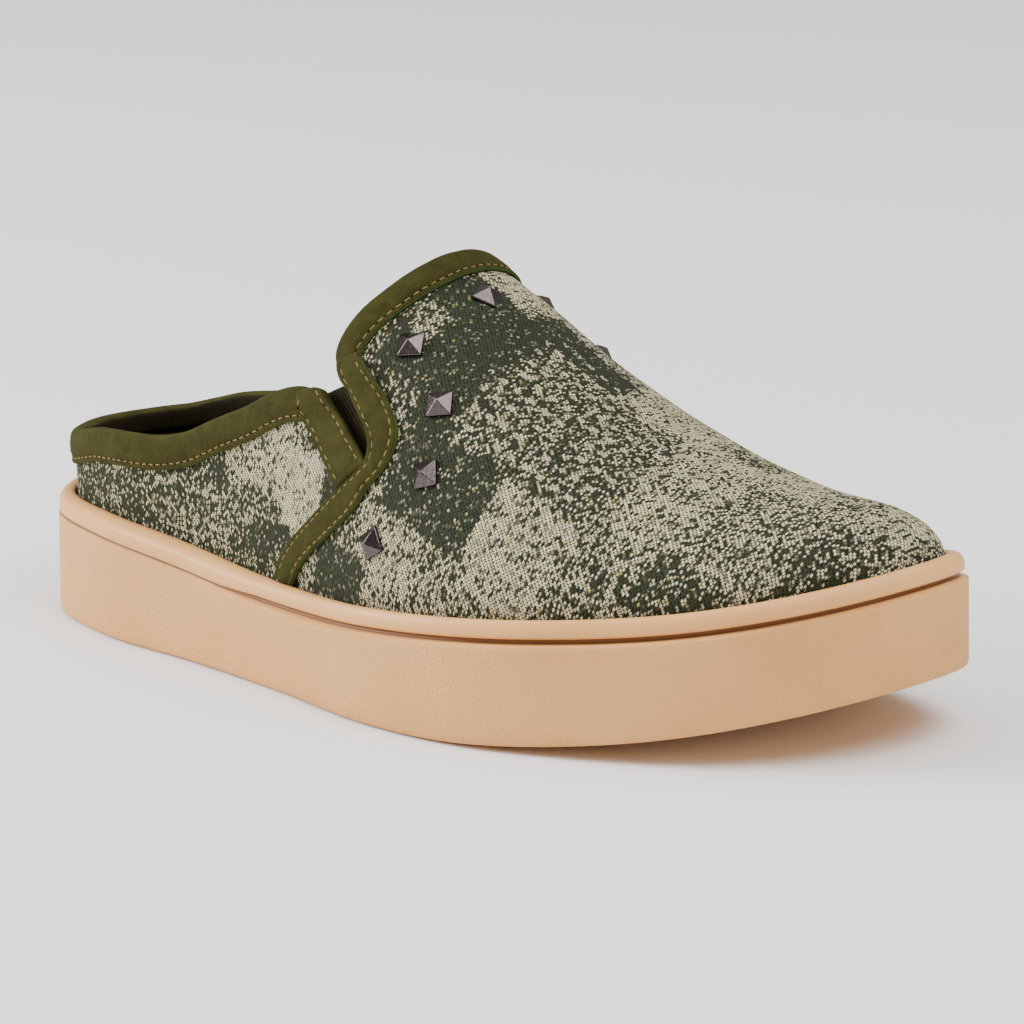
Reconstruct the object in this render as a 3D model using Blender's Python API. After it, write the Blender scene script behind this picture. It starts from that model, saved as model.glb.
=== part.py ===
"""A right slip-on shoe: cupsole, insole, hollow textile upper, elastic gores, bindings, strips, studs.

Working axes: x runs from the heel (0) to the toe (LENGTH), y to the inner side, z up, in metres.
Everything is shifted at the end, so that the middle of its box stands over the origin.
"""

import math

import bmesh
import bpy
import numpy as np

# Main sizes
LENGTH = 0.272  # sole, back of heel to tip of toe
BALL_WIDTH = 0.105  # sole at its widest
INSTEP_HEIGHT = 0.110  # ridge of the upper at the throat, over the floor
TOE_SPRING = 0.0168  # how far the sole's tip stands off the floor
SPRING_START = 0.56  # share of length where the sole leaves the floor

# Sole: height of its rim over its own bottom
RIM_HEEL = 0.0319
RIM_WAIST = 0.0264
RIM_BALL = 0.0298
RIM_TOE = 0.0275
BAND_HEIGHT = 0.0056  # smooth band between the groove and the rim's top
HEEL_DRAFT = 0.0006  # how far the sole's wall leans in over its height at the back of the heel
CUP_INSET = 0.0048  # from the sole's outside to the inside of its rim
FLOOR_DROP = 0.0115  # from the rim down to the floor of the cup
UPPER_INSET = 0.0053  # from the sole's outside to the outside of the upper
INSOLE_THICK = 0.0035

# Upper
WALL = 0.0018
GAP = 0.0003
STRIP_THICK = 0.0011
BINDING_WIDTH = 0.0074
BINDING_INSIDE = 0.0045
BINDING_ROLL = 0.0013
GORE_THICK = 0.0011
STUD_SIDE = 0.0062
STUD_HEIGHT = 0.0030
STUD_SKIRT = 0.0007
STUD_INNER_SHIFT = 0.010  # share of length that the inner side's studs sit nearer the heel

# How finely the pieces are divided
STATIONS = 44
UPPER_ROWS = 15
ROW_GROWTH = 1.10  # each row of the upper is this much taller than the one below it
PATH_STEP = 0.0046

# Sole outline from the back of the heel by the outer side to the toe and back by the inner side.
# Columns: share of LENGTH, share of BALL_WIDTH.
OUTLINE = [
    (0.000, 0.000),
    (0.038, -0.210),
    (0.150, -0.339),
    (0.287, -0.385),
    (0.419, -0.446),
    (0.551, -0.523),
    (0.662, -0.528),
    (0.761, -0.463),
    (0.879, -0.331),
    (0.955, -0.163),
    (0.989, -0.020),
    (1.000, 0.100),
    (0.994, 0.235),
    (0.960, 0.350),
    (0.879, 0.440),
    (0.750, 0.476),
    (0.570, 0.433),
    (0.419, 0.371),
    (0.287, 0.352),
    (0.150, 0.343),
    (0.037, 0.229),
]

# Cross-sections of the last.
# Columns: share of LENGTH, ridge height as a share of INSTEP_HEIGHT,
# fullness of the shoulders, ridge shift to the inner side as a share of the half width.
SECTIONS = [
    (0.00, 1.200, 2.00, 0.00),
    (0.22, 1.170, 2.05, 0.03),
    (0.37, 1.090, 2.10, 0.06),
    (0.46, 0.996, 2.20, 0.09),
    (0.55, 0.878, 2.25, 0.07),
    (0.64, 0.739, 2.20, 0.03),
    (0.735, 0.614, 2.17, 0.01),
    (0.83, 0.531, 2.17, 0.00),
    (1.00, 0.500, 2.17, 0.00),
]
TOE_ROUND_FROM = 0.906  # share of length where the ridge starts to close at the toe

# How far the lower wall stands out past the band. Columns: share of LENGTH, metres.
LEDGE = [(0.00, 0.0003), (0.33, 0.0003), (0.46, 0.0015), (0.85, 0.0015), (1.00, 0.0008)]

# Lines on one side of the upper. Columns: share of LENGTH, share of the way down from ridge to rim.
COLLAR = [
    (0.060, 0.897),
    (0.115, 0.872),
    (0.210, 0.848),
    (0.258, 0.822),
    (0.305, 0.774),
    (0.352, 0.724),
    (0.396, 0.662),
    (0.435, 0.622),
]
NOTCH_REAR = [(0.435, 0.622), (0.457, 0.620), (0.481, 0.634), (0.509, 0.665), (0.534, 0.700)]
NOTCH_FRONT = [(0.534, 0.700), (0.538, 0.655), (0.528, 0.602), (0.503, 0.564), (0.468, 0.550)]
THROAT = [
    (0.468, 0.550),
    (0.463, 0.510),
    (0.465, 0.460),
    (0.472, 0.400),
    (0.488, 0.280),
    (0.498, 0.140),
    (0.500, 0.000),
]
HEEL_TOP = 0.0462  # top of the upper at the back of the heel
HEEL_LEAN = 0.10  # how far the back of the heel leans forward for its height

# Strip down the rear edge of the vamp. Columns: rear edge (share, down), front edge (share, down).
VAMP_STRIP = [
    (0.473, 0.560, 0.505, 0.500),
    (0.495, 0.573, 0.529, 0.514),
    (0.511, 0.596, 0.549, 0.545),
    (0.523, 0.614, 0.558, 0.573),
    (0.532, 0.642, 0.560, 0.619),
    (0.531, 0.684, 0.554, 0.675),
    (0.521, 0.711, 0.538, 0.735),
    (0.499, 0.766, 0.521, 0.800),
    (0.458, 0.852, 0.485, 0.875),
    (0.428, 0.909, 0.459, 0.919),
    (0.399, 0.984, 0.427, 0.987),
]
# Strip down the front edge of the quarter, the same columns.
QUARTER_STRIP = [
    (0.4330, 0.634, 0.4500, 0.614),
    (0.436, 0.664, 0.464, 0.616),
    (0.446, 0.695, 0.480, 0.626),
    (0.458, 0.715, 0.493, 0.638),
    (0.471, 0.733, 0.505, 0.653),
    (0.489, 0.762, 0.520, 0.673),
]
# Elastic gore behind the notch, the same columns.
GORE = [
    (0.441, 0.626, 0.481, 0.549),
    (0.452, 0.650, 0.510, 0.566),
    (0.474, 0.680, 0.537, 0.592),
    (0.498, 0.710, 0.551, 0.645),
    (0.517, 0.733, 0.552, 0.705),
]
# Studs. Columns: share of LENGTH, share of the way down, turn in degrees.
STUD_CENTRE = (0.551, 0.045, 32)
STUD_PAIRS = [(0.536, 0.36, 42), (0.588, 0.44, 42), (0.600, 0.63, 37), (0.550, 0.85, 37)]


def smooth(table, column, x):
    """A smooth curve through one column of a table, by the table's first column."""
    xs = np.array([row[0] for row in table], float)
    ys = np.array([row[column] for row in table], float)
    return curve(xs, ys, x)


def curve(xs, ys, x):
    x = np.asarray(x, float)
    step = np.diff(xs)
    slope = np.diff(ys) / step
    tangent = np.empty_like(ys)
    tangent[0] = slope[0]
    tangent[-1] = slope[-1]
    tangent[1:-1] = (slope[:-1] * step[1:] + slope[1:] * step[:-1]) / (step[:-1] + step[1:])
    i = np.clip(np.searchsorted(xs, x, side="right") - 1, 0, len(xs) - 2)
    h = step[i]
    t = np.clip((x - xs[i]) / h, 0, 1)
    start = (1 + 2 * t) * (1 - t) ** 2 * ys[i] + t * (1 - t) ** 2 * h * tangent[i]
    end = t * t * (3 - 2 * t) * ys[i + 1] + t * t * (t - 1) * h * tangent[i + 1]
    return start + end


def through(points, count, closed=False):
    """Evenly spaced points on a smooth curve through the given points."""
    points = np.asarray(points, float)
    if closed:
        points = np.vstack([points[-3:], points, points[:4]])
    gaps = np.linalg.norm(np.diff(points, axis=0), axis=1) ** 0.6
    at = np.concatenate([[0], np.cumsum(gaps)])
    lo, hi = (at[3], at[-4]) if closed else (at[0], at[-1])
    dense = np.linspace(lo, hi, 40 * len(points))
    line = np.stack([curve(at, points[:, k], dense) for k in range(points.shape[1])], -1)
    run = np.concatenate([[0], np.cumsum(np.linalg.norm(np.diff(line, axis=0), axis=1))])
    want = np.linspace(0, run[-1], count, endpoint=not closed)
    return np.stack([np.interp(want, run, line[:, k]) for k in range(points.shape[1])], -1)


def inset(loop, distance):
    """The loop moved inwards. It runs from the heel by the outer side to the toe."""
    along = np.roll(loop, -1, axis=0) - np.roll(loop, 1, axis=0)
    along = along / np.linalg.norm(along, axis=1)[:, None]
    inward = np.stack([-along[:, 1], along[:, 0]], -1)
    return loop + inward * np.asarray(distance)[..., None]


def spring(x):
    """Height of the sole's bottom over the floor."""
    t = np.clip((x / LENGTH - SPRING_START) / (1 - SPRING_START), 0, 1)
    return TOE_SPRING * t**2.3


def rim_top(x):
    table = [
        (0.0, RIM_HEEL),
        (0.15, RIM_HEEL - 0.0005),
        (0.42, RIM_WAIST),
        (0.68, RIM_BALL),
        (1.0, RIM_TOE),
    ]
    return spring(x) + smooth(table, 1, x / LENGTH)


def cup_floor(x):
    return rim_top(x) - FLOOR_DROP


OUTSIDE = through([(a * LENGTH, b * BALL_WIDTH) for a, b in OUTLINE], 1400, closed=True)
FEATHER = inset(OUTSIDE, UPPER_INSET)


def branches(loop):
    """The outer and the inner side of a loop, each from heel to toe."""
    heel = loop[:, 0].argmin()
    toe = loop[:, 0].argmax()
    count = len(loop)
    outer = loop[np.arange(heel, heel + (toe - heel) % count + 1) % count]
    inner = loop[np.arange(toe, toe + (heel - toe) % count + 1) % count][::-1]
    return outer, inner


OUTER, INNER = branches(FEATHER)
BACK = FEATHER[:, 0].min()
TIP = FEATHER[:, 0].max()


def section(x):
    """Outer edge, inner edge, rim, ridge height, ridge position and fullness of the last at x."""
    x = np.clip(x, BACK, TIP)
    outer = np.interp(x, OUTER[:, 0], OUTER[:, 1])
    inner = np.interp(x, INNER[:, 0], INNER[:, 1])
    rim = rim_top(x) - 0.001
    share = x / LENGTH
    ridge = smooth(SECTIONS, 1, share) * INSTEP_HEIGHT
    start = TOE_ROUND_FROM * LENGTH
    closing = np.clip((x - start) / (TIP - start), 0, 1)
    ridge = rim + (ridge - rim) * np.sqrt(1 - closing**2)
    middle = (outer + inner) / 2 + smooth(SECTIONS, 3, share) * (inner - outer) / 2
    return outer, inner, rim, ridge, middle, smooth(SECTIONS, 2, share)


def outside(points):
    """Negative inside the last, positive outside it."""
    x = points[..., 0]
    y = points[..., 1]
    z = points[..., 2]
    lean = HEEL_LEAN * np.clip(1 - x / (0.2 * LENGTH), 0, 1)
    x = x - lean * np.maximum(z - rim_top(x), 0)
    outer, inner, rim, ridge, middle, full = section(x)
    half = np.where(y < middle, middle - outer, inner - middle)
    flat = (np.abs(y - middle) / np.maximum(half, 1e-6)) ** full
    high = (np.maximum(z - rim, 0) / np.maximum(ridge - rim, 1e-6)) ** 2
    return np.where((x < BACK) | (x > TIP), 1.0, flat + high - 1)


def spine(points):
    """A point inside the last that sees this part of it."""
    x = np.clip(points[..., 0], BACK + 0.032, TIP - 0.045)
    outer, inner, rim, ridge, middle, _ = section(x)
    level = np.minimum(points[..., 2], rim + 0.006)
    return np.stack([x, middle, level], -1)


def settle(points):
    """Moves points onto the last, straight out from its inside."""
    points = np.asarray(points, float)
    base = spine(points)
    ray = points - base
    near = np.full(points.shape[:-1], 0.2)
    far = np.full(points.shape[:-1], 4.0)
    for _ in range(40):
        half = (near + far) / 2
        inside = outside(base + ray * half[..., None]) < 0
        near = np.where(inside, half, near)
        far = np.where(inside, far, half)
    return base + ray * near[..., None]


def unit(vectors):
    return vectors / np.maximum(np.linalg.norm(vectors, axis=-1, keepdims=True), 1e-12)


def normals(points):
    """Directions straight out of the last at points on it."""
    ray = unit(points - spine(points))
    side = unit(np.cross(ray, [0.0, 0.0, 1.0]) + 1e-9)
    rise = np.cross(side, ray)
    step = 0.0007
    one = settle(points + side * step) - settle(points - side * step)
    two = settle(points + rise * step) - settle(points - rise * step)
    out = unit(np.cross(one, two))
    return out * np.sign((out * ray).sum(-1, keepdims=True))


def on_last(share, down, side=-1):
    """The point at a share of the length and a share of the way from ridge to rim."""
    share = np.asarray(share, float)
    down = np.asarray(down, float)
    outer, inner, rim, ridge, middle, full = section(share * LENGTH)
    angle = down * math.pi / 2
    half = middle - outer if side < 0 else inner - middle
    y = middle + side * half * np.sin(angle) ** (2 / full)
    z = rim + (ridge - rim) * np.cos(angle)
    return np.stack([share * LENGTH, y, z], -1)


def line_on_last(table, count, side=-1):
    rows = through(table, count)
    return on_last(rows[:, 0], rows[:, 1], side)


def material(name, colour, roughness, metallic=0.0):
    made = bpy.data.materials.new(name)
    made.use_nodes = True
    shader = made.node_tree.nodes["Principled BSDF"]
    shader.inputs["Base Color"].default_value = (*colour, 1.0)
    shader.inputs["Roughness"].default_value = roughness
    shader.inputs["Metallic"].default_value = metallic
    made.diffuse_color = (*colour, 1.0)
    return made


def solid(name, points, faces, made):
    mesh = bpy.data.meshes.new(name)
    mesh.from_pydata([tuple(p) for p in points], [], faces)
    build = bmesh.new()
    build.from_mesh(mesh)
    bmesh.ops.triangulate(build, faces=[f for f in build.faces if len(f.verts) > 3])
    bmesh.ops.recalc_face_normals(build, faces=build.faces)
    build.to_mesh(mesh)
    build.free()
    mesh.materials.append(made)
    piece = bpy.data.objects.new(name, mesh)
    bpy.context.scene.collection.objects.link(piece)
    return piece


def tube_faces(rings, count, closed_rings):
    """Quads between rings of points that each close on themselves."""
    faces = []
    for r in range(rings if closed_rings else rings - 1):
        a = r * count
        b = ((r + 1) % rings) * count
        for i in range(count):
            j = (i + 1) % count
            faces.append((a + i, a + j, b + j, b + i))
    return faces


def matched_loop(distance):
    """The sole's outline moved in, as pairs of points: outer side to the toe, inner side back."""
    loop = inset(OUTSIDE, np.full(len(OUTSIDE), distance))
    outer, inner = branches(loop)
    t = np.arange(STATIONS + 1) / STATIONS
    x = loop[:, 0].min() + (loop[:, 0].max() - loop[:, 0].min()) * (1 - np.cos(math.pi * t)) / 2
    go = np.stack([x, np.interp(x, outer[:, 0], outer[:, 1])], -1)
    back = np.stack([x, np.interp(x, inner[:, 0], inner[:, 1])], -1)[::-1]
    return np.vstack([go[:-1], back[:-1]])


def cap(start, count):
    """Strips across a matched loop, from heel to toe."""
    faces = []
    half = count // 2
    for i in range(half):
        a = start + i
        b = start + i + 1
        c = start + (count - i - 1) % count
        d = start + (count - i) % count
        faces.append(tuple(dict.fromkeys((a, b, c, d))))
    return faces


def sole(made):
    outline = matched_loop(0.0)
    count = len(outline)
    rings = []

    def ring(distance, height):
        flat = matched_loop(distance) if np.isscalar(distance) else blend(distance)
        rings.append(np.column_stack([flat, height(flat[:, 0])]))

    def blend(distance):
        near = matched_loop(0.0)
        far = matched_loop(0.004)
        share = distance(near[:, 0]) / 0.004
        return near + (far - near) * share[:, None]

    def draft(x):
        return HEEL_DRAFT * np.clip(1 - x / (0.25 * LENGTH), 0, 1)

    def ledge(x):
        return smooth(LEDGE, 1, x / LENGTH) + draft(x)

    def wall_top(x):
        return rim_top(x) - BAND_HEIGHT

    ring(0.0011, spring)
    ring(0.0003, lambda x: spring(x) + 0.0007)
    ring(0.0, lambda x: spring(x) + 0.0020)
    ring(draft, lambda x: wall_top(x) - 0.0009)
    ring(lambda x: draft(x) + 0.0003, wall_top)
    ring(lambda x: ledge(x) + 0.0009, lambda x: wall_top(x) + 0.0001)
    ring(lambda x: ledge(x) + 0.0009, lambda x: wall_top(x) + 0.0007)
    ring(lambda x: ledge(x) + 0.0001, lambda x: wall_top(x) + 0.0013)
    ring(ledge, lambda x: wall_top(x) + 0.0030)
    ring(lambda x: ledge(x) + 0.0006, lambda x: rim_top(x) - 0.0009)
    ring(lambda x: ledge(x) * 0.6 + 0.0018, rim_top)
    ring(CUP_INSET - 0.0006, lambda x: rim_top(x) - 0.0001)
    ring(CUP_INSET, lambda x: rim_top(x) - 0.0008)
    ring(CUP_INSET, cup_floor)
    faces = tube_faces(len(rings), count, False)
    faces += cap(0, count)
    faces += cap((len(rings) - 1) * count, count)
    return solid("sole", np.vstack(rings), faces, made)


def insole(made):
    distance = UPPER_INSET + WALL + 0.0005
    low = matched_loop(distance)
    high = matched_loop(distance + 0.0006)
    count = len(low)
    rings = [
        np.column_stack([low, cup_floor(low[:, 0]) + GAP]),
        np.column_stack([low, cup_floor(low[:, 0]) + GAP + INSOLE_THICK * 0.7]),
        np.column_stack([high, cup_floor(high[:, 0]) + GAP + INSOLE_THICK]),
    ]
    faces = tube_faces(len(rings), count, False)
    faces += cap(0, count)
    faces += cap((len(rings) - 1) * count, count)
    return solid("insole", np.vstack(rings), faces, made)


def topline(side):
    """The edge of the upper from the back of the heel to the middle of the throat, on one side."""
    heel = np.array([BACK, np.interp(BACK, OUTER[:, 0], OUTER[:, 1]), HEEL_TOP])
    first = on_last([row[0] for row in COLLAR], [row[1] for row in COLLAR], side)
    mirror = on_last([row[0] for row in COLLAR[:3]], [row[1] for row in COLLAR[:3]], -side)
    whole = through(np.vstack([mirror[::-1], heel, first]), 400)
    start = np.linalg.norm(whole - heel, axis=1).argmin()
    collar = through(whole[start:], 17)
    rear = line_on_last(NOTCH_REAR, 6, side)
    front = line_on_last(NOTCH_FRONT, 6, side)
    throat = line_on_last(THROAT, 19, side)
    return settle(np.vstack([collar[:-1], rear[:-1], front[:-1], throat]))


def upper_grid():
    """Rows of points from inside the cup up to the topline, each a loop around the shoe."""
    outer_top = topline(-1)
    inner_top = topline(1)
    top = np.vstack([outer_top, inner_top[::-1][1:-1]])
    half = len(outer_top) - 1
    share = np.linspace(0, 1, half + 1)
    share = 0.9 * share + 0.1 * (1 - np.cos(math.pi * share)) / 2
    bases = []
    for line in (OUTER, INNER):
        run = np.concatenate([[0], np.cumsum(np.linalg.norm(np.diff(line, axis=0), axis=1))])
        want = share * run[-1]
        bases.append(np.stack([np.interp(want, run, line[:, k]) for k in (0, 1)], -1))
    base = np.vstack([bases[0], bases[1][::-1][1:-1]])
    low = np.column_stack([base, rim_top(base[:, 0]) - 0.001])
    rows = []
    v = (ROW_GROWTH ** np.arange(UPPER_ROWS) - 1) / (ROW_GROWTH ** (UPPER_ROWS - 1) - 1)
    bulge = np.sin(math.pi * v) * 0.5
    out = np.column_stack([unit(base - [LENGTH / 2, 0.0]), np.zeros(len(base))])
    for share_up, belly in zip(v, bulge):
        rows.append(low + (top - low) * share_up + out * belly * 0.02)
    grid = settle(np.array(rows))
    grid[0] = low
    grid[-1] = top
    for _ in range(60):
        around = (np.roll(grid, 1, axis=1) + np.roll(grid, -1, axis=1)) / 2
        between = (grid[:-2] * ROW_GROWTH + grid[2:]) / (1 + ROW_GROWTH)
        moved = grid[1:-1] * 0.3 + 0.2 * around[1:-1] + 0.5 * between
        grid[1:-1] = settle(moved)
    foot = low.copy()
    foot[:, 2] = cup_floor(low[:, 0]) + GAP
    return np.concatenate([foot[None], grid])


def shell(name, grid, out_shift, in_shift, made, out=None, closed=False):
    """A solid sheet: the grid of points moved out and in along its normals and closed at its rims."""
    out = normals(grid) if out is None else out
    front = grid + out * out_shift
    back = grid + out * in_shift
    rows, columns = grid.shape[:2]
    both = np.vstack([front.reshape(-1, 3), back.reshape(-1, 3)])
    shift = rows * columns
    faces = []
    for r in range(rows - 1):
        for c in range(columns if closed else columns - 1):
            d = (c + 1) % columns
            quad = (r * columns + c, r * columns + d, (r + 1) * columns + d, (r + 1) * columns + c)
            faces.append(quad)
            faces.append(tuple(i + shift for i in quad[::-1]))
    for r in (0, rows - 1):
        for c in range(columns if closed else columns - 1):
            a = r * columns + c
            b = r * columns + (c + 1) % columns
            faces.append((a, b, b + shift, a + shift))
    if not closed:
        for c in (0, columns - 1):
            for r in range(rows - 1):
                a = r * columns + c
                b = (r + 1) * columns + c
                faces.append((a, b, b + shift, a + shift))
    return solid(name, both, faces, made)


def upper(made):
    grid = upper_grid()
    out = normals(grid)
    out[0] = out[1]
    out[:2, :, 2] = 0
    out = unit(out)
    return shell("upper", grid, 0.0, -WALL, made, out=out, closed=True)


def strip(name, table, side, made, across=3, length_step=0.004, out_shift=None, in_shift=None):
    """A sheet between a rear and a front edge that are given in a table."""
    out_shift = GAP + STRIP_THICK if out_shift is None else out_shift
    in_shift = GAP if in_shift is None else in_shift
    run = np.linalg.norm(np.diff(on_last(*np.array(table)[:, :2].T, side), axis=0), axis=1).sum()
    count = max(4, int(run / length_step) + 1)
    rear = through([row[:2] for row in table], count)
    front = through([row[2:] for row in table], count)
    mix = np.linspace(0, 1, across)[None, :, None]
    both = rear[:, None] * (1 - mix) + front[:, None] * mix
    grid = on_last(both[..., 0], both[..., 1], side)
    return shell(name, grid, out_shift, in_shift, made)


def binding(name, path, made):
    """A rolled edge: a channel over the edge of the upper, which lies to the left of the path."""
    count = max(6, int(np.linalg.norm(np.diff(path, axis=0), axis=1).sum() / PATH_STEP) + 1)
    path = settle(through(path, count))
    out = normals(path)
    along = unit(np.gradient(path, axis=0))
    down = unit(np.cross(out, along))
    inside = -(WALL + GAP)
    far = inside - STRIP_THICK
    profile = [
        (BINDING_WIDTH, GAP),
        (BINDING_WIDTH, GAP + STRIP_THICK * 0.8),
        (BINDING_WIDTH / 2, GAP + STRIP_THICK),
        (0.0, GAP + STRIP_THICK),
        (-BINDING_ROLL * 0.8, GAP * 0.5),
        (-BINDING_ROLL, (GAP + inside) / 2),
        (-BINDING_ROLL * 0.8, inside + GAP * 0.5),
        (0.0, far),
        (BINDING_INSIDE, far),
        (BINDING_INSIDE, inside),
        (-GAP, inside),
        (-GAP, GAP),
        (BINDING_WIDTH / 2, GAP),
    ]
    rings = []
    for depth, shift in profile:
        if depth > 0:
            spot = settle(path + down * depth)
            rings.append(spot + normals(spot) * shift)
        else:
            rings.append(path + down * depth + out * shift)
    rings = np.array(rings).transpose(1, 0, 2)
    corners = len(profile)
    faces = tube_faces(len(rings), corners, False)
    faces.append(tuple(range(corners)))
    last = (len(rings) - 1) * corners
    faces.append(tuple(last + i for i in range(corners))[::-1])
    return solid(name, rings.reshape(-1, 3), faces, made)


def stud(name, share, down, turn, side, made):
    """A low pyramid on a thin square skirt, flat on the upper."""
    centre = on_last(share, down, side)[None]
    out = normals(centre)[0]
    ahead = unit(on_last(share + 0.01, down, side) - centre[0])
    ahead = unit(ahead - out * (ahead @ out))
    angle = math.radians(turn) * -side
    ahead = ahead * math.cos(angle) + np.cross(out, ahead) * math.sin(angle)
    across = np.cross(out, ahead)
    base = centre[0] + out * GAP
    half = STUD_SIDE / 2
    points = []
    for lift in (0.0, STUD_SKIRT):
        for a, b in ((-1, -1), (1, -1), (1, 1), (-1, 1)):
            points.append(base + ahead * a * half + across * b * half + out * lift)
    points.append(base + out * STUD_HEIGHT)
    faces = tube_faces(2, 4, False) + [(0, 3, 2, 1)]
    faces += [(4 + i, 4 + (i + 1) % 4, 8) for i in range(4)]
    return solid(name, points, faces, made)


def build():
    for old in list(bpy.data.objects):
        bpy.data.objects.remove(old, do_unlink=True)
    sole_rubber = material("sole_rubber", (0.72, 0.52, 0.36), 0.55)
    lining = material("lining", (0.10, 0.08, 0.05), 0.9)
    textile = material("textile", (0.13, 0.15, 0.11), 0.9)
    olive = material("olive_suede", (0.07, 0.07, 0.02), 0.85)
    elastic = material("elastic", (0.045, 0.033, 0.012), 0.9)
    gunmetal = material("gunmetal", (0.16, 0.14, 0.14), 0.3, 1.0)

    sole(sole_rubber)
    insole(lining)
    upper(textile)
    tops = {-1: topline(-1), 1: topline(1)}
    ends = 15
    stops = [tops[side][ends] * 0.55 + tops[side][ends + 1] * 0.45 for side in (-1, 1)]
    collar = np.vstack([stops[0], tops[-1][: ends + 1][::-1], tops[1][1 : ends + 1], stops[1]])
    binding("collar_binding", collar, olive)
    first = 26
    throat = np.vstack([tops[-1][first:], tops[1][first:][::-1][1:]])
    binding("throat_binding", throat[::-1], olive)
    for side, word in ((-1, "lateral"), (1, "medial")):
        inner = -(WALL + GAP)
        strip(f"gore_{word}", GORE, side, elastic, 5, 0.004, inner, inner - GORE_THICK)
        strip(f"vamp_strip_{word}", VAMP_STRIP, side, olive)
        strip(f"quarter_strip_{word}", QUARTER_STRIP, side, olive)
    stud("stud_1", *STUD_CENTRE, -1, gunmetal)
    number = 2
    for share, down, turn in STUD_PAIRS:
        for side in (-1, 1):
            back = STUD_INNER_SHIFT if side > 0 else 0.0
            stud(f"stud_{number}", share - back, down, turn, side, gunmetal)
            number += 1
    middle = (OUTSIDE[:, 1].min() + OUTSIDE[:, 1].max()) / 2
    for piece in bpy.context.scene.collection.objects:
        for vertex in piece.data.vertices:
            vertex.co.x -= LENGTH / 2
            vertex.co.y -= middle
    return middle


build()
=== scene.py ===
"""A right slip-on shoe as a finished part: woven upper, nubuck edges, elastic gores, studs and a cupsole.

Every piece lies on the surface of the same last as the solids of the frame. Working axes: x runs from
the heel (0) to the toe (LENGTH), y to the inner side and z up, in metres; pieces are moved to the
frame's origin as they are finished.
"""

import math
from functools import cache

import bmesh
import bpy
import numpy as np
from mathutils import Matrix, Vector


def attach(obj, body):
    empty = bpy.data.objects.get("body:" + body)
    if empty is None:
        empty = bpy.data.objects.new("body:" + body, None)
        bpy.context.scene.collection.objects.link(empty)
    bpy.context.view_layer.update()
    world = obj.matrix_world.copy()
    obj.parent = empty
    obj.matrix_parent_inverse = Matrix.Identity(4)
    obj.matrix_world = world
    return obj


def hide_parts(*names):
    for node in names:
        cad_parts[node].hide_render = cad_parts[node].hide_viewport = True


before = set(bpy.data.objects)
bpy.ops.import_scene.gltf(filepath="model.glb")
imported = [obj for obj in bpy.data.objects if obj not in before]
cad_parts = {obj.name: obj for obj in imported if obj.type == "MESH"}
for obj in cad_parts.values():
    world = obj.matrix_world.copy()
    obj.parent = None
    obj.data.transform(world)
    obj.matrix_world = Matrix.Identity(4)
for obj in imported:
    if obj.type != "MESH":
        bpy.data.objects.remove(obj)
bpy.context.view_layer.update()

# Sizes of the last and the sole, as in the part's source
LENGTH = 0.272
BALL_WIDTH = 0.105
INSTEP_HEIGHT = 0.110
TOE_SPRING = 0.0168
SPRING_START = 0.56
RIM_HEEL = 0.0319
RIM_WAIST = 0.0264
RIM_BALL = 0.0298
RIM_TOE = 0.0275
BAND_HEIGHT = 0.0056
HEEL_DRAFT = 0.0006
CUP_INSET = 0.0048
FLOOR_DROP = 0.0115
UPPER_INSET = 0.0053
INSOLE_THICK = 0.0035
WALL = 0.0018
GAP = 0.0003
STRIP_THICK = 0.0011
BINDING_WIDTH = 0.0074
BINDING_INSIDE = 0.0045
BINDING_ROLL = 0.0013
GORE_THICK = 0.0011
STUD_SIDE = 0.0062
STUD_HEIGHT = 0.0030
STUD_SKIRT = 0.0007
STUD_INNER_SHIFT = 0.010
UPPER_ROWS = 15
ROW_GROWTH = 1.10

# How finely the pieces are divided
COLUMN_SPLIT = 6
ROW_SPLIT = 4
SOLE_STATIONS = 230
RING_STEP = 0.0011
SEAM_STEPS = 120
GORE_STEPS = 40
GORE_COLUMNS = 97
RIBS = 12

# Columns of the upper along each part of its top edge, on one side
COLLAR_COLUMNS = 16
NOTCH_COLUMNS = 5
THROAT_COLUMNS = 18
TO_THROAT = COLLAR_COLUMNS + 2 * NOTCH_COLUMNS

# Seams: distance from the edge of a binding or strip, and the stitches
BINDING_SEAM = 0.0014
STRIP_SEAM = 0.0018
QUARTER_REAR_SEAM = 0.0015
STITCH_LENGTH = 0.0019
STITCH_PITCH = 0.0027
STITCH_THICK = 0.00036

# Steps of the repeated sums, and small measures
HALVINGS = 26
SMOOTHINGS = 60
FLATTENINGS = 500
NORMAL_STEP = 0.0007
MERGE = 2e-6
BEVEL_FACE = 1.2e-6

# Columns at the heel that the vamp's flat cloth leaves out, and where its seam meets the top edge
HEEL_COLUMNS = 12
SEAM_TOP = (0.44, 0.558)

# Sole outline from the back of the heel by the outer side to the toe and back by the inner side.
# Columns: share of LENGTH, share of BALL_WIDTH.
OUTLINE = [
    (0.000, 0.000), (0.038, -0.210), (0.150, -0.339), (0.287, -0.385),
    (0.419, -0.446), (0.551, -0.523), (0.662, -0.528), (0.761, -0.463),
    (0.879, -0.331), (0.955, -0.163), (0.989, -0.020), (1.000, 0.100),
    (0.994, 0.235), (0.960, 0.350), (0.879, 0.440), (0.750, 0.476),
    (0.570, 0.433), (0.419, 0.371), (0.287, 0.352), (0.150, 0.343),
    (0.037, 0.229),
]

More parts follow.
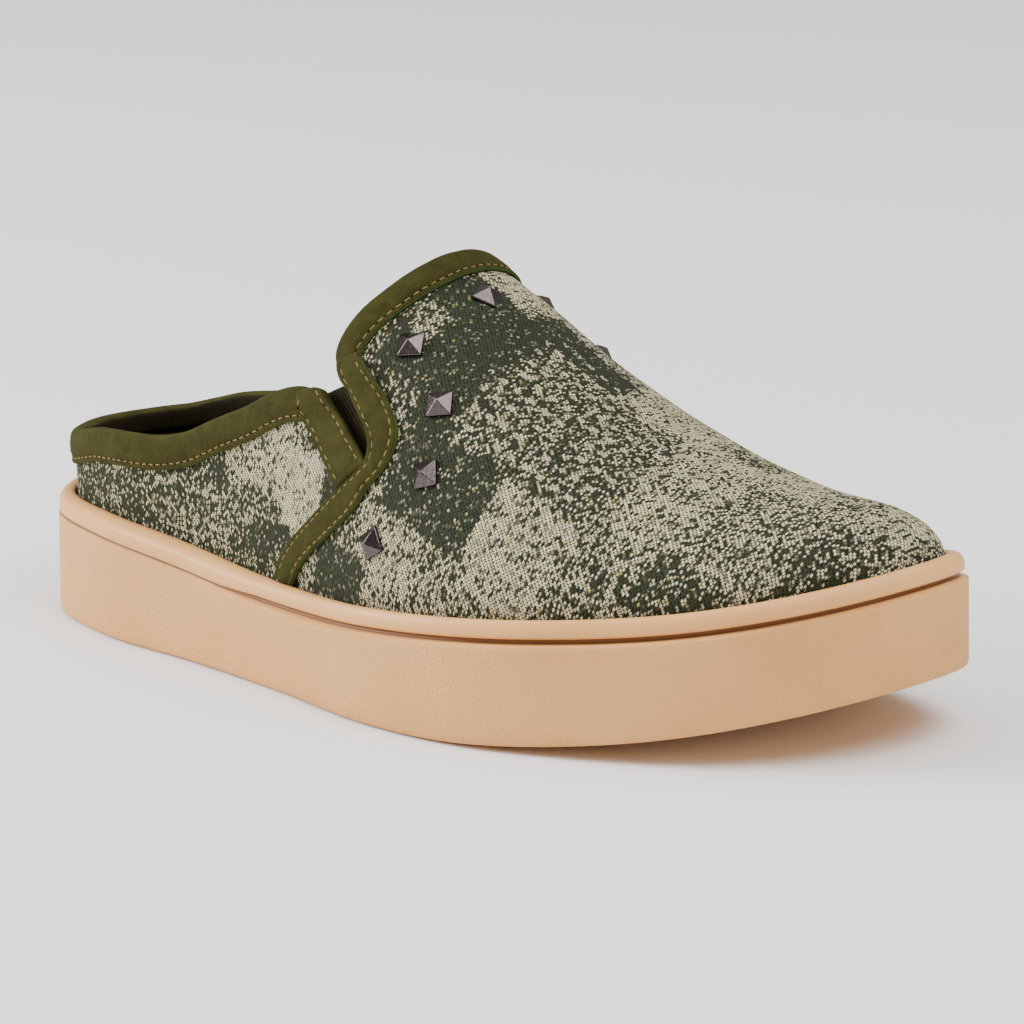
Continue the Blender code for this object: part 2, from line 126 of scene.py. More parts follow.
# Cross-sections of the last. Columns: share of LENGTH, ridge height as a share of INSTEP_HEIGHT,
# fullness of the shoulders, ridge shift to the inner side as a share of the half width.
SECTIONS = [
    (0.00, 1.200, 2.00, 0.00), (0.22, 1.170, 2.05, 0.03), (0.37, 1.090, 2.10, 0.06),
    (0.46, 0.996, 2.20, 0.09), (0.55, 0.878, 2.25, 0.07), (0.64, 0.739, 2.20, 0.03),
    (0.735, 0.614, 2.17, 0.01), (0.83, 0.531, 2.17, 0.00), (1.00, 0.500, 2.17, 0.00),
]
TOE_ROUND_FROM = 0.906

# How far the lower wall stands out past the band. Columns: share of LENGTH, metres.
LEDGE = [(0.00, 0.0003), (0.33, 0.0003), (0.46, 0.0015), (0.85, 0.0015), (1.00, 0.0008)]

# Lines on one side of the upper. Columns: share of LENGTH, share of the way down from ridge to rim.
COLLAR = [
    (0.060, 0.897), (0.115, 0.872), (0.210, 0.848), (0.258, 0.822),
    (0.305, 0.774), (0.352, 0.724), (0.396, 0.662), (0.435, 0.622),
]
NOTCH_REAR = [(0.435, 0.622), (0.457, 0.620), (0.481, 0.634), (0.509, 0.665), (0.534, 0.700)]
NOTCH_FRONT = [(0.534, 0.700), (0.538, 0.655), (0.528, 0.602), (0.503, 0.564), (0.468, 0.550)]
THROAT = [
    (0.468, 0.550), (0.463, 0.510), (0.465, 0.460), (0.472, 0.400),
    (0.488, 0.280), (0.498, 0.140), (0.500, 0.000),
]
HEEL_TOP = 0.0462
HEEL_LEAN = 0.10

# Strips. Columns: rear edge (share, down), front edge (share, down).
VAMP_STRIP = [
    (0.470, 0.516, 0.485, 0.484), (0.469, 0.531, 0.494, 0.482), (0.478, 0.557, 0.504, 0.493),
    (0.493, 0.576, 0.529, 0.514), (0.508, 0.599, 0.549, 0.545), (0.520, 0.617, 0.558, 0.573),
    (0.528, 0.643, 0.560, 0.619), (0.528, 0.685, 0.554, 0.675), (0.521, 0.711, 0.538, 0.735),
    (0.499, 0.766, 0.521, 0.800), (0.458, 0.852, 0.485, 0.875), (0.428, 0.909, 0.459, 0.919),
    (0.411, 0.948, 0.442, 0.954), (0.401, 0.988, 0.429, 0.991),
]
QUARTER_STRIP = [
    (0.431, 0.625, 0.447, 0.605), (0.4255, 0.645, 0.456, 0.602), (0.427, 0.672, 0.466, 0.611),
    (0.446, 0.695, 0.480, 0.626), (0.458, 0.715, 0.493, 0.638), (0.471, 0.733, 0.505, 0.653),
    (0.482, 0.752, 0.517, 0.666), (0.496, 0.772, 0.531, 0.686),
]
GORE = [
    (0.441, 0.626, 0.481, 0.549), (0.452, 0.650, 0.510, 0.566), (0.474, 0.680, 0.537, 0.592),
    (0.498, 0.710, 0.551, 0.645), (0.517, 0.733, 0.552, 0.705),
]
# Studs. Columns: share of LENGTH, share of the way down, turn in degrees.
STUD_CENTRE = (0.551, 0.045, 32)
STUD_PAIRS = [(0.536, 0.36, 42), (0.588, 0.44, 42), (0.600, 0.63, 37), (0.550, 0.85, 37)]


def smooth(table, column, x):
    """A smooth curve through one column of a table, by the table's first column."""
    xs = np.array([row[0] for row in table], float)
    ys = np.array([row[column] for row in table], float)
    return curve(xs, ys, x)


def curve(xs, ys, x):
    x = np.asarray(x, float)
    step = np.diff(xs)
    slope = np.diff(ys) / step
    tangent = np.empty_like(ys)
    tangent[0] = slope[0]
    tangent[-1] = slope[-1]
    tangent[1:-1] = (slope[:-1] * step[1:] + slope[1:] * step[:-1]) / (step[:-1] + step[1:])
    i = np.clip(np.searchsorted(xs, x, side="right") - 1, 0, len(xs) - 2)
    h = step[i]
    t = np.clip((x - xs[i]) / h, 0, 1)
    start = (1 + 2 * t) * (1 - t) ** 2 * ys[i] + t * (1 - t) ** 2 * h * tangent[i]
    end = t * t * (3 - 2 * t) * ys[i + 1] + t * t * (t - 1) * h * tangent[i + 1]
    return start + end


def through(points, count, closed=False):
    """Evenly spaced points on a smooth curve through the given points."""
    points = np.asarray(points, float)
    if closed:
        points = np.vstack([points[-3:], points, points[:4]])
    gaps = np.linalg.norm(np.diff(points, axis=0), axis=1) ** 0.6
    at = np.concatenate([[0], np.cumsum(gaps)])
    lo, hi = (at[3], at[-4]) if closed else (at[0], at[-1])
    dense = np.linspace(lo, hi, 40 * len(points))
    line = np.stack([curve(at, points[:, k], dense) for k in range(points.shape[1])], -1)
    run = run_along(line)
    want = np.linspace(0, run[-1], count, endpoint=not closed)
    return np.stack([np.interp(want, run, line[:, k]) for k in range(points.shape[1])], -1)


def run_along(line):
    """The length of a line of points up to each of them."""
    return np.concatenate([[0], np.cumsum(np.linalg.norm(np.diff(line, axis=0), axis=1))])


def inset(loop, distance):
    """The loop moved inwards. It runs from the heel by the outer side to the toe."""
    along = np.roll(loop, -1, axis=0) - np.roll(loop, 1, axis=0)
    along = along / np.linalg.norm(along, axis=1)[:, None]
    inward = np.stack([-along[:, 1], along[:, 0]], -1)
    return loop + inward * np.asarray(distance)[..., None]


def spring(x):
    """Height of the sole's bottom over the floor."""
    t = np.clip((x / LENGTH - SPRING_START) / (1 - SPRING_START), 0, 1)
    return TOE_SPRING * t**2.3


def rim_top(x):
    table = [
        (0.0, RIM_HEEL),
        (0.15, RIM_HEEL - 0.0005),
        (0.42, RIM_WAIST),
        (0.68, RIM_BALL),
        (1.0, RIM_TOE),
    ]
    return spring(x) + smooth(table, 1, x / LENGTH)


def cup_floor(x):
    return rim_top(x) - FLOOR_DROP


OUTSIDE = through([(a * LENGTH, b * BALL_WIDTH) for a, b in OUTLINE], 1400, closed=True)
FEATHER = inset(OUTSIDE, UPPER_INSET)


def branches(loop):
    """The outer and the inner side of a loop, each from heel to toe."""
    heel = loop[:, 0].argmin()
    toe = loop[:, 0].argmax()
    count = len(loop)
    outer = loop[np.arange(heel, heel + (toe - heel) % count + 1) % count]
    inner = loop[np.arange(toe, toe + (heel - toe) % count + 1) % count][::-1]
    return outer, inner


OUTER, INNER = branches(FEATHER)
BACK = FEATHER[:, 0].min()
TIP = FEATHER[:, 0].max()


def section(x):
    """Outer edge, inner edge, rim, ridge height, ridge position and fullness of the last at x."""
    x = np.clip(x, BACK, TIP)
    outer = np.interp(x, OUTER[:, 0], OUTER[:, 1])
    inner = np.interp(x, INNER[:, 0], INNER[:, 1])
    rim = rim_top(x) - 0.001
    share = x / LENGTH
    ridge = smooth(SECTIONS, 1, share) * INSTEP_HEIGHT
    start = TOE_ROUND_FROM * LENGTH
    closing = np.clip((x - start) / (TIP - start), 0, 1)
    ridge = rim + (ridge - rim) * np.sqrt(1 - closing**2)
    middle = (outer + inner) / 2 + smooth(SECTIONS, 3, share) * (inner - outer) / 2
    return outer, inner, rim, ridge, middle, smooth(SECTIONS, 2, share)


def outside(points):
    """Negative inside the last, positive outside it."""
    x = points[..., 0]
    y = points[..., 1]
    z = points[..., 2]
    lean = HEEL_LEAN * np.clip(1 - x / (0.2 * LENGTH), 0, 1)
    x = x - lean * np.maximum(z - rim_top(x), 0)
    outer, inner, rim, ridge, middle, full = section(x)
    half = np.where(y < middle, middle - outer, inner - middle)
    flat = (np.abs(y - middle) / np.maximum(half, 1e-6)) ** full
    high = (np.maximum(z - rim, 0) / np.maximum(ridge - rim, 1e-6)) ** 2
    return np.where((x < BACK) | (x > TIP), 1.0, flat + high - 1)


def spine(points):
    """A point inside the last that sees this part of it."""
    x = np.clip(points[..., 0], BACK + 0.032, TIP - 0.045)
    _, _, rim, _, middle, _ = section(x)
    level = np.minimum(points[..., 2], rim + 0.006)
    return np.stack([x, middle, level], -1)


def settle(points):
    """Moves points onto the last, straight out from its inside."""
    points = np.asarray(points, float)
    base = spine(points)
    ray = points - base
    near = np.full(points.shape[:-1], 0.2)
    far = np.full(points.shape[:-1], 4.0)
    for _ in range(HALVINGS):
        half = (near + far) / 2
        inside = outside(base + ray * half[..., None]) < 0
        near = np.where(inside, half, near)
        far = np.where(inside, far, half)
    return base + ray * near[..., None]


def unit(vectors):
    return vectors / np.maximum(np.linalg.norm(vectors, axis=-1, keepdims=True), 1e-12)


def normals(points):
    """Directions straight out of the last at points on it."""
    ray = unit(points - spine(points))
    side = unit(np.cross(ray, [0.0, 0.0, 1.0]) + 1e-9)
    rise = np.cross(side, ray)
    step = NORMAL_STEP
    one = settle(points + side * step) - settle(points - side * step)
    two = settle(points + rise * step) - settle(points - rise * step)
    out = unit(np.cross(one, two))
    return out * np.sign((out * ray).sum(-1, keepdims=True))


def on_last(share, down, side=-1):
    """The point at a share of the length and a share of the way from ridge to rim."""
    share = np.asarray(share, float)
    down = np.asarray(down, float)
    outer, inner, rim, ridge, middle, full = section(share * LENGTH)
    angle = down * math.pi / 2
    half = middle - outer if side < 0 else inner - middle
    y = middle + side * half * np.sin(angle) ** (2 / full)
    z = rim + (ridge - rim) * np.cos(angle)
    return np.stack([share * LENGTH, y, z], -1)


def line_on_last(table, count, side=-1):
    rows = through(table, count)
    return on_last(rows[:, 0], rows[:, 1], side)


def matched_loop(distance):
    """The sole's outline moved in, as pairs of points: outer side to the toe, inner side back."""
    loop = inset(OUTSIDE, np.full(len(OUTSIDE), distance))
    outer, inner = branches(loop)
    t = np.arange(SOLE_STATIONS + 1) / SOLE_STATIONS
    x = loop[:, 0].min() + (loop[:, 0].max() - loop[:, 0].min()) * (1 - np.cos(math.pi * t)) / 2
    go = np.stack([x, np.interp(x, outer[:, 0], outer[:, 1])], -1)
    back = np.stack([x, np.interp(x, inner[:, 0], inner[:, 1])], -1)[::-1]
    return np.vstack([go[:-1], back[:-1]])


def topline(side, split=1):
    """The edge of the upper from the back of the heel to the middle of the throat, on one side."""
    heel = np.array([BACK, np.interp(BACK, OUTER[:, 0], OUTER[:, 1]), HEEL_TOP])
    first = on_last([row[0] for row in COLLAR], [row[1] for row in COLLAR], side)
    mirror = on_last([row[0] for row in COLLAR[:3]], [row[1] for row in COLLAR[:3]], -side)
    whole = through(np.vstack([mirror[::-1], heel, first]), 400)
    start = np.linalg.norm(whole - heel, axis=1).argmin()
    collar = through(whole[start:], COLLAR_COLUMNS * split + 1)
    rear = line_on_last(NOTCH_REAR, NOTCH_COLUMNS * split + 1, side)
    front = line_on_last(NOTCH_FRONT, NOTCH_COLUMNS * split + 1, side)
    throat = line_on_last(THROAT, THROAT_COLUMNS * split + 1, side)
    return settle(np.vstack([collar[:-1], rear[:-1], front[:-1], throat]))


def around(outer, inner):
    """One loop from the outer side's line and back along the inner side's."""
    return np.vstack([outer, inner[::-1][1:-1]])


def upper_rows():
    """Coarse rows of points from the rim up to the topline, each a loop around the shoe."""
    top = around(topline(-1), topline(1))
    half = len(top) // 2
    share = np.linspace(0, 1, half + 1)
    share = 0.9 * share + 0.1 * (1 - np.cos(math.pi * share)) / 2
    bases = []
    for line in (OUTER, INNER):
        run = run_along(line)
        want = share * run[-1]
        bases.append(np.stack([np.interp(want, run, line[:, k]) for k in (0, 1)], -1))
    base = around(*bases)
    low = np.column_stack([base, rim_top(base[:, 0]) - 0.001])
    rows = []
    v = (ROW_GROWTH ** np.arange(UPPER_ROWS) - 1) / (ROW_GROWTH ** (UPPER_ROWS - 1) - 1)
    bulge = np.sin(math.pi * v) * 0.5
    out = np.column_stack([unit(base - [LENGTH / 2, 0.0]), np.zeros(len(base))])
    for share_up, belly in zip(v, bulge):
        rows.append(low + (top - low) * share_up + out * belly * 0.02)
    grid = settle(np.array(rows))
    grid[0] = low
    grid[-1] = top
    for _ in range(SMOOTHINGS):
        beside = (np.roll(grid, 1, axis=1) + np.roll(grid, -1, axis=1)) / 2
        between = (grid[:-2] * ROW_GROWTH + grid[2:]) / (1 + ROW_GROWTH)
        moved = grid[1:-1] * 0.3 + 0.2 * beside[1:-1] + 0.5 * between
        grid[1:-1] = settle(moved)
    return grid


def tint(red, green, blue):
    """A colour given as it looks on a screen, 0 to 255, as the shader wants it."""
    made = []
    for value in (red, green, blue):
        value = value / 255
        made.append(value / 12.92 if value <= 0.04045 else ((value + 0.055) / 1.055) ** 2.4)
    return (*made, 1.0)


def feed(tree, made, inputs):
    """Fills a node's inputs, each with a value or another node's output."""
    for name, value in inputs.items():
        if isinstance(value, bpy.types.NodeSocket):
            tree.links.new(value, made.inputs[name])
        else:
            made.inputs[name].default_value = value
    return made


def node(tree, kind, inputs=None, **settings):
    made = tree.nodes.new(kind)
    for name, value in settings.items():
        setattr(made, name, value)
    return feed(tree, made, inputs or {})


def calc(tree, operation, *values):
    return node(tree, "ShaderNodeMath", dict(enumerate(values)), operation=operation).outputs[0]


def plus(tree, *values):
    return calc(tree, "ADD", *values)


def minus(tree, *values):
    return calc(tree, "SUBTRACT", *values)


def times(tree, *values):
    return calc(tree, "MULTIPLY", *values)


def vector(tree, operation, *values):
    return node(tree, "ShaderNodeVectorMath", dict(enumerate(values)), operation=operation).outputs[0]


def blend_colour(tree, share, first, second, kind="MIX"):
    inputs = {0: share, 6: first, 7: second}
    return node(tree, "ShaderNodeMix", inputs, data_type="RGBA", blend_type=kind).outputs[2]


def ease(tree, value, low, high, to_low=0.0, to_high=1.0):
    """The value's place between low and high, softly, as a number between to_low and to_high."""
    made = node(
        tree,
        "ShaderNodeMapRange",
        {"Value": value, "From Min": low, "From Max": high, "To Min": to_low, "To Max": to_high},
        interpolation_type="SMOOTHSTEP",
    )
    return made.outputs["Result"]


def noise(tree, place, scale, detail=2.0, rough=0.5, warp=0.0):
    made = node(
        tree,
        "ShaderNodeTexNoise",
        {"Vector": place, "Scale": scale, "Detail": detail, "Roughness": rough, "Distortion": warp},
    )
    return made.outputs["Fac"]


def chance(tree, place):
    """A number from 0 to 1 that is different for each place."""
    return node(tree, "ShaderNodeTexWhiteNoise", {"Vector": place}).outputs["Value"]


def group(name, inputs, outputs):
    """An empty node group: returns its tree, its inputs by name, and its output node."""
    tree = bpy.data.node_groups.new(name, "ShaderNodeTree")
    for way, sockets in (("INPUT", inputs), ("OUTPUT", outputs)):
        for label, kind in sockets.items():
            tree.interface.new_socket(name=label, in_out=way, socket_type="NodeSocket" + kind)
    enter = tree.nodes.new("NodeGroupInput")
    leave = tree.nodes.new("NodeGroupOutput")
    return tree, enter.outputs, leave


def placed(tree, made, inputs):
    return node(tree, "ShaderNodeGroup", inputs, node_tree=made).outputs


def finish(name, shader_values):
    """A new material with its shader, whose plain values are set here."""
    made = bpy.data.materials.new(name)
    made.use_nodes = True
    tree = made.node_tree
    shader = tree.nodes["Principled BSDF"]
    for label, value in shader_values.items():
        shader.inputs[label].default_value = value
    return made, tree, shader


def together(tree, *values):
    return node(tree, "ShaderNodeCombineXYZ", dict(enumerate(values))).outputs[0]


def attribute(tree, name):
    return node(tree, "ShaderNodeAttribute", attribute_name=name).outputs["Fac"]


def wear(tree, shader, colour, height=None, distance=0.0, strength=1.0):
    """Links a colour to the shader and, where there is a height, its bump."""
    tree.links.new(colour, shader.inputs["Base Color"])
    if height is not None:
        inputs = {"Height": height, "Distance": distance, "Strength": strength}
        made = node(tree, "ShaderNodeBump", inputs)
        tree.links.new(made.outputs["Normal"], shader.inputs["Normal"])


@cache
def woven_yarns():
    """Twill of two yarns on a flat cloth in millimetres: which yarn shows, its height, pale or dark."""
    tree, enter, leave = group(
        "woven_yarns",
        dict.fromkeys(
            ["Across", "Down", "Yarn Width", "Float Length", "Pale Share", "Gold Share", "Seed"], "Float"
        ),
        dict.fromkeys(["Pale", "Above", "Height", "Shade", "Gold"], "Float"),
    )
    yarn = calc(tree, "DIVIDE", enter["Across"], enter["Yarn Width"])
    number = calc(tree, "FLOOR", yarn)
    inside = calc(tree, "FRACT", yarn)
    own = together(tree, number, enter["Seed"], 3.7)
    wander = times(tree, minus(tree, chance(tree, own), 0.5), 0.14)
    along = calc(tree, "DIVIDE", enter["Down"], enter["Float Length"])
    along = minus(tree, along, times(tree, number, 0.375))
    along = plus(tree, along, wander)
    cell = calc(tree, "FLOOR", along)
    way = calc(tree, "FRACT", along)
    spot = together(tree, number, cell, enter["Seed"])
    luck = chance(tree, spot)
    other = together(tree, cell, number, 9.1)
    shade = chance(tree, other)
    long = plus(tree, 0.62, times(tree, enter["Pale Share"], 0.22))
    rise = ease(tree, way, 0.0, 0.16)
    fall = ease(tree, way, minus(tree, long, 0.08), plus(tree, long, 0.10), 1.0, 0.0)
    above = times(tree, rise, fall)
    middle = calc(tree, "ABSOLUTE", minus(tree, times(tree, inside, 2.0), 1.0))
    round_top = minus(tree, 1.0, calc(tree, "POWER", middle, 2.2))
    low = minus(tree, enter["Pale Share"], 0.20)
    high = plus(tree, enter["Pale Share"], 0.20)
    pale = ease(tree, luck, low, high, 1.0, 0.0)
    seen = times(tree, above, ease(tree, round_top, 0.02, 0.40))
    height = times(tree, round_top, plus(tree, 0.35, times(tree, above, 0.65)))
    gold_luck = together(tree, cell, 5.3, number)
    gold = calc(tree, "LESS_THAN", chance(tree, gold_luck), enter["Gold Share"])
    gold = times(tree, gold, above)
    outputs = {"Pale": pale, "Above": seen, "Height": height, "Shade": shade, "Gold": gold}
    for label, value in outputs.items():
        tree.links.new(value, leave.inputs[label])
    return tree


def cloth_place(tree):
    """The piece's own flat map in millimetres: (vector, across, down)."""
    flat = node(tree, "ShaderNodeUVMap", uv_map="cloth").outputs[0]
    wide = vector(tree, "MULTIPLY", flat, (1000.0, 1000.0, 0.0))
    parts = node(tree, "ShaderNodeSeparateXYZ", {0: wide}).outputs
    return wide, parts[0], parts[1]


# Millimetres on the flat cloth
YARN_WIDTH = 0.54
FLOAT_LENGTH = 1.18
FIRST_ROW = 2.3
ROW_PITCH = 5.75
DASH_PITCH = 4.5


def dash_rows(tree, across, down):
    """Short pale dashes in staggered rows, on the flat cloth in millimetres."""
    row = calc(tree, "DIVIDE", minus(tree, down, FIRST_ROW), ROW_PITCH)
    number = calc(tree, "ROUND", row)
    off_row = times(tree, calc(tree, "ABSOLUTE", minus(tree, row, number)), ROW_PITCH)
    column = plus(tree, calc(tree, "DIVIDE", across, DASH_PITCH), times(tree, number, 0.5))
    place = calc(tree, "ROUND", column)
    off_dash = times(tree, calc(tree, "ABSOLUTE", minus(tree, column, place)), DASH_PITCH)
    spot = together(tree, number, place, 4.4)
    kept = ease(tree, chance(tree, spot), 0.10, 0.22)
    dash = times(tree, ease(tree, off_row, 0.65, 0.95, 1.0, 0.0), kept)
    return times(tree, dash, ease(tree, off_dash, 0.95, 1.25, 1.0, 0.0))


@cache
def woven_textile():
    made, tree, shader = finish("woven_textile", {"Roughness": 0.9, "Specular IOR Level": 0.12})
    place, across, down = cloth_place(tree)
    tone = attribute(tree, "tone")
    dashed = attribute(tree, "dashes")
    slow = noise(tree, place, 0.13, 3.0, 0.6, 0.6)
    quick = noise(tree, place, 0.60, 3.0, 0.65)
    drawn = together(tree, times(tree, across, 1.5), times(tree, down, 0.14))
    streak = noise(tree, drawn, 1.0, 1.0)
    calm = minus(tree, 1.0, times(tree, dashed, 0.60))
    calm = times(tree, calm, ease(tree, tone, 0.0, 0.5, 0.45, 1.0))
    for part, amount in ((slow, 0.70), (quick, 0.80), (streak, 0.50)):
        change = times(tree, minus(tree, part, 0.5), amount)
        tone = plus(tree, tone, times(tree, change, calm))
    tone = ease(tree, tone, -0.30, 1.25, -0.05, 1.05)
    tone = minus(tree, tone, ease(tree, tone, 0.08, 0.40, 0.26, 0.0))
    dash = times(tree, dash_rows(tree, across, down), dashed)
    tone = calc(tree, "MAXIMUM", tone, times(tree, dash, 0.97))
    sway = times(tree, minus(tree, noise(tree, place, 0.35, 1.0), 0.5), 0.6)
    across = plus(tree, across, sway)
    down = plus(tree, down, sway)
    gold = ease(tree, noise(tree, place, 0.22, 2.0), 0.50, 0.70, 0.002, 0.034)
    yarns = placed(
        tree,
        woven_yarns(),
        {
            "Across": across,
            "Down": down,
            "Yarn Width": YARN_WIDTH,
            "Float Length": FLOAT_LENGTH,
            "Pale Share": tone,
            "Gold Share": gold,
            "Seed": 1.0,
        },
    )
    dark = blend_colour(tree, yarns["Shade"], tint(24, 28, 19), tint(48, 53, 37))
    cream = blend_colour(tree, yarns["Shade"], tint(180, 170, 134), tint(228, 218, 182))
    shadow = ease(tree, yarns["Height"], 0.0, 0.45, 0.55, 1.0)
    under = blend_colour(tree, tone, tint(60, 65, 48), tint(66, 66, 48))
    colour = blend_colour(tree, yarns["Pale"], dark, cream)
    colour = blend_colour(tree, yarns["Above"], under, colour)
    colour = blend_colour(tree, times(tree, yarns["Gold"], 0.9), colour, tint(176, 158, 82))
    shadow_colour = node(tree, "ShaderNodeCombineColor", {0: shadow, 1: shadow, 2: shadow}).outputs[0]
    colour = blend_colour(tree, 1.0, colour, shadow_colour, "MULTIPLY")
    tree.links.new(times(tree, yarns["Gold"], 0.8), shader.inputs["Metallic"])
    rough = minus(tree, 0.9, times(tree, yarns["Gold"], 0.5))
    tree.links.new(rough, shader.inputs["Roughness"])
    fuzz = noise(tree, place, 5.0, 2.0)
    height = plus(tree, yarns["Height"], times(tree, fuzz, 0.3))
    wear(tree, shader, colour, height, 0.00020, 0.8)
    return made


@cache
def nap():
    """Short brushed fibres: colour changes and height. Place is in millimetres."""
    tree, enter, leave = group(
        "nap",
        {"Place": "Vector", "Deep": "Color", "Light": "Color"},
        {"Colour": "Color", "Height": "Float"},
    )
    clouds = noise(tree, enter["Place"], 0.22, 3.0, 0.6, 0.4)
    brushed = noise(tree, enter["Place"], 1.1, 3.0, 0.65, 0.8)
    stretched = vector(tree, "MULTIPLY", enter["Place"], (1.0, 2.2, 1.0))
    fibres = noise(tree, stretched, 5.0, 3.0, 0.7, 0.3)
    mixed = plus(tree, times(tree, clouds, 0.45), times(tree, brushed, 0.35))
    mixed = plus(tree, mixed, times(tree, fibres, 0.35))
    share = ease(tree, mixed, 0.36, 0.80)
    tree.links.new(blend_colour(tree, share, enter["Deep"], enter["Light"]), leave.inputs["Colour"])
    height = plus(tree, times(tree, fibres, 0.6), times(tree, brushed, 0.5))
    tree.links.new(height, leave.inputs["Height"])
    return tree


def object_place(tree, scale=1000.0):
    place = node(tree, "ShaderNodeTexCoord").outputs["Object"]
    return vector(tree, "MULTIPLY", place, (scale, scale, scale))


@cache
def nubuck():
    made, tree, shader = finish(
        "nubuck", {"Roughness": 0.9, "Specular IOR Level": 0.08, "Sheen Weight": 0.04}
    )
    shader.inputs["Sheen Roughness"].default_value = 0.45
    shader.inputs["Sheen Tint"].default_value = tint(150, 150, 80)
    place = object_place(tree)
    hair = placed(tree, nap(), {"Place": place, "Deep": tint(43, 42, 15), "Light": tint(65, 63, 28)})
    raw = attribute(tree, "raw")
    uneven = minus(tree, noise(tree, place, 2.4, 2.0), 0.5)
    frayed = plus(tree, raw, times(tree, uneven, 0.5))
    share = ease(tree, frayed, 0.55, 1.1)
    colour = blend_colour(tree, share, hair["Colour"], tint(62, 82, 44))
    wear(tree, shader, colour, hair["Height"], 0.00022, 0.6)
    return made


@cache
def thread():
    made, tree, shader = finish("thread", {"Roughness": 0.55, "Specular IOR Level": 0.4})
    place = object_place(tree)
    plies = noise(tree, place, 2.0, 2.0)
    colour = blend_colour(tree, ease(tree, plies, 0.3, 0.7), tint(104, 82, 34), tint(156, 130, 66))
    wear(tree, shader, colour, noise(tree, place, 7.0, 1.0), 0.00008, 0.7)
    return made


@cache
def needle_hole_shade():
    made, tree, shader = finish("needle_hole_shade", {"Roughness": 1.0, "Specular IOR Level": 0.0})
    place = object_place(tree)
    # Near-black colour: painted shade inside the needle holes between the stitches.
    colour = blend_colour(tree, noise(tree, place, 2.0), tint(14, 12, 5), tint(36, 30, 14))
    wear(tree, shader, colour)
    return made


@cache
def elastic_cord():
    made, tree, shader = finish("elastic_cord", {"Roughness": 0.8, "Specular IOR Level": 0.1})
    _, across, _ = cloth_place(tree)
    hollow_shade = attribute(tree, "hollow_shade")
    wraps = calc(tree, "SINE", times(tree, across, 12.0))
    fibre = noise(tree, object_place(tree), 3.0, 2.0)
    share = plus(tree, times(tree, wraps, 0.2), fibre)
    colour = blend_colour(tree, ease(tree, share, 0.3, 0.8), tint(36, 30, 13), tint(52, 44, 21))
    # Painted shade: the colour turns near-black in the hollows between the ribs.
    colour = blend_colour(tree, ease(tree, hollow_shade, 0.35, 0.9), colour, tint(12, 10, 4))
    wear(tree, shader, colour, share, 0.0001, 0.6)
    return made


@cache
def lining_cloth():
    made, tree, shader = finish("lining_cloth", {"Roughness": 0.95, "Specular IOR Level": 0.15})
    place = object_place(tree)
    knit = noise(tree, place, 1.6, 3.0, 0.7)
    clouds = noise(tree, place, 0.12, 2.0)
    share = plus(tree, times(tree, knit, 0.6), times(tree, clouds, 0.4))
    colour = blend_colour(tree, ease(tree, share, 0.35, 0.65), tint(26, 22, 12), tint(42, 36, 20))
    wear(tree, shader, colour, knit, 0.0002, 0.7)
    return made


@cache
def insole_cloth():
    made, tree, shader = finish("insole_cloth", {"Roughness": 0.9, "Specular IOR Level": 0.2})
    place, _, _ = cloth_place(tree)
    weave = node(
        tree, "ShaderNodeTexVoronoi", {"Vector": place, "Scale": 1.1, "Randomness": 0.25}, feature="F1"
    ).outputs["Distance"]
    clouds = noise(tree, place, 0.10, 3.0)
    share = plus(tree, times(tree, weave, 0.5), times(tree, clouds, 0.5))
    colour = blend_colour(tree, ease(tree, share, 0.3, 0.7), tint(86, 74, 46), tint(58, 50, 30))
    wear(tree, shader, colour, weave, 0.0002, 0.6)
    return made


@cache
def sole_rubber():
    made, tree, shader = finish("sole_rubber", {"Roughness": 0.55, "Specular IOR Level": 0.25})
    place = object_place(tree)
    # The grain attribute: strength of the rubber's grain where above zero; below zero, painted shade in
    # the groove under the band and down the inside of the rim.
    grain = attribute(tree, "grain")
    clouds = noise(tree, place, 0.03, 3.0)
    specks = noise(tree, place, 0.9, 2.0, 0.7)
    colour = blend_colour(tree, ease(tree, clouds, 0.3, 0.7), tint(221, 163, 99), tint(229, 172, 107))
    speck = ease(tree, specks, 0.78, 0.86, 0.0, 0.25)
    colour = blend_colour(tree, speck, colour, tint(160, 116, 76))
    # Painted shade: brown darkening where the grain attribute is below zero.
    recess_shade = ease(tree, grain, -0.05, -1.0, 0.0, 0.9)
    colour = blend_colour(tree, recess_shade, colour, tint(120, 78, 44))
    pits = node(tree, "ShaderNodeTexVoronoi", {"Vector": place, "Scale": 1.5}, feature="SMOOTH_F1")
    pits = pits.outputs["Distance"]
    fine = noise(tree, place, 3.0, 3.0, 0.6)
    skin = plus(tree, times(tree, pits, 0.8), times(tree, fine, 0.7))
    amount = ease(tree, grain, 0.0, 1.0, 0.10, 1.0)
    skin = times(tree, skin, amount)
    wear(tree, shader, colour, skin, 0.00040)
    rough = plus(tree, 0.42, times(tree, amount, 0.16))
    tree.links.new(rough, shader.inputs["Roughness"])
    return made


@cache
def gunmetal():
    made, tree, shader = finish("gunmetal", {"Metallic": 1.0, "Roughness": 0.28})
    place = object_place(tree)
    scratches = noise(tree, vector(tree, "MULTIPLY", place, (1.0, 6.0, 1.0)), 1.2, 3.0, 0.7)
    colour = blend_colour(tree, ease(tree, scratches, 0.35, 0.7), tint(80, 70, 70), tint(106, 95, 94))
    tree.links.new(ease(tree, scratches, 0.3, 0.8, 0.16, 0.30), shader.inputs["Roughness"])
    wear(tree, shader, colour, scratches, 0.00003, 0.4)
    return made


MIDDLE = (OUTSIDE[:, 1].min() + OUTSIDE[:, 1].max()) / 2
TO_FRAME = np.array([-LENGTH / 2, -MIDDLE, 0.0])


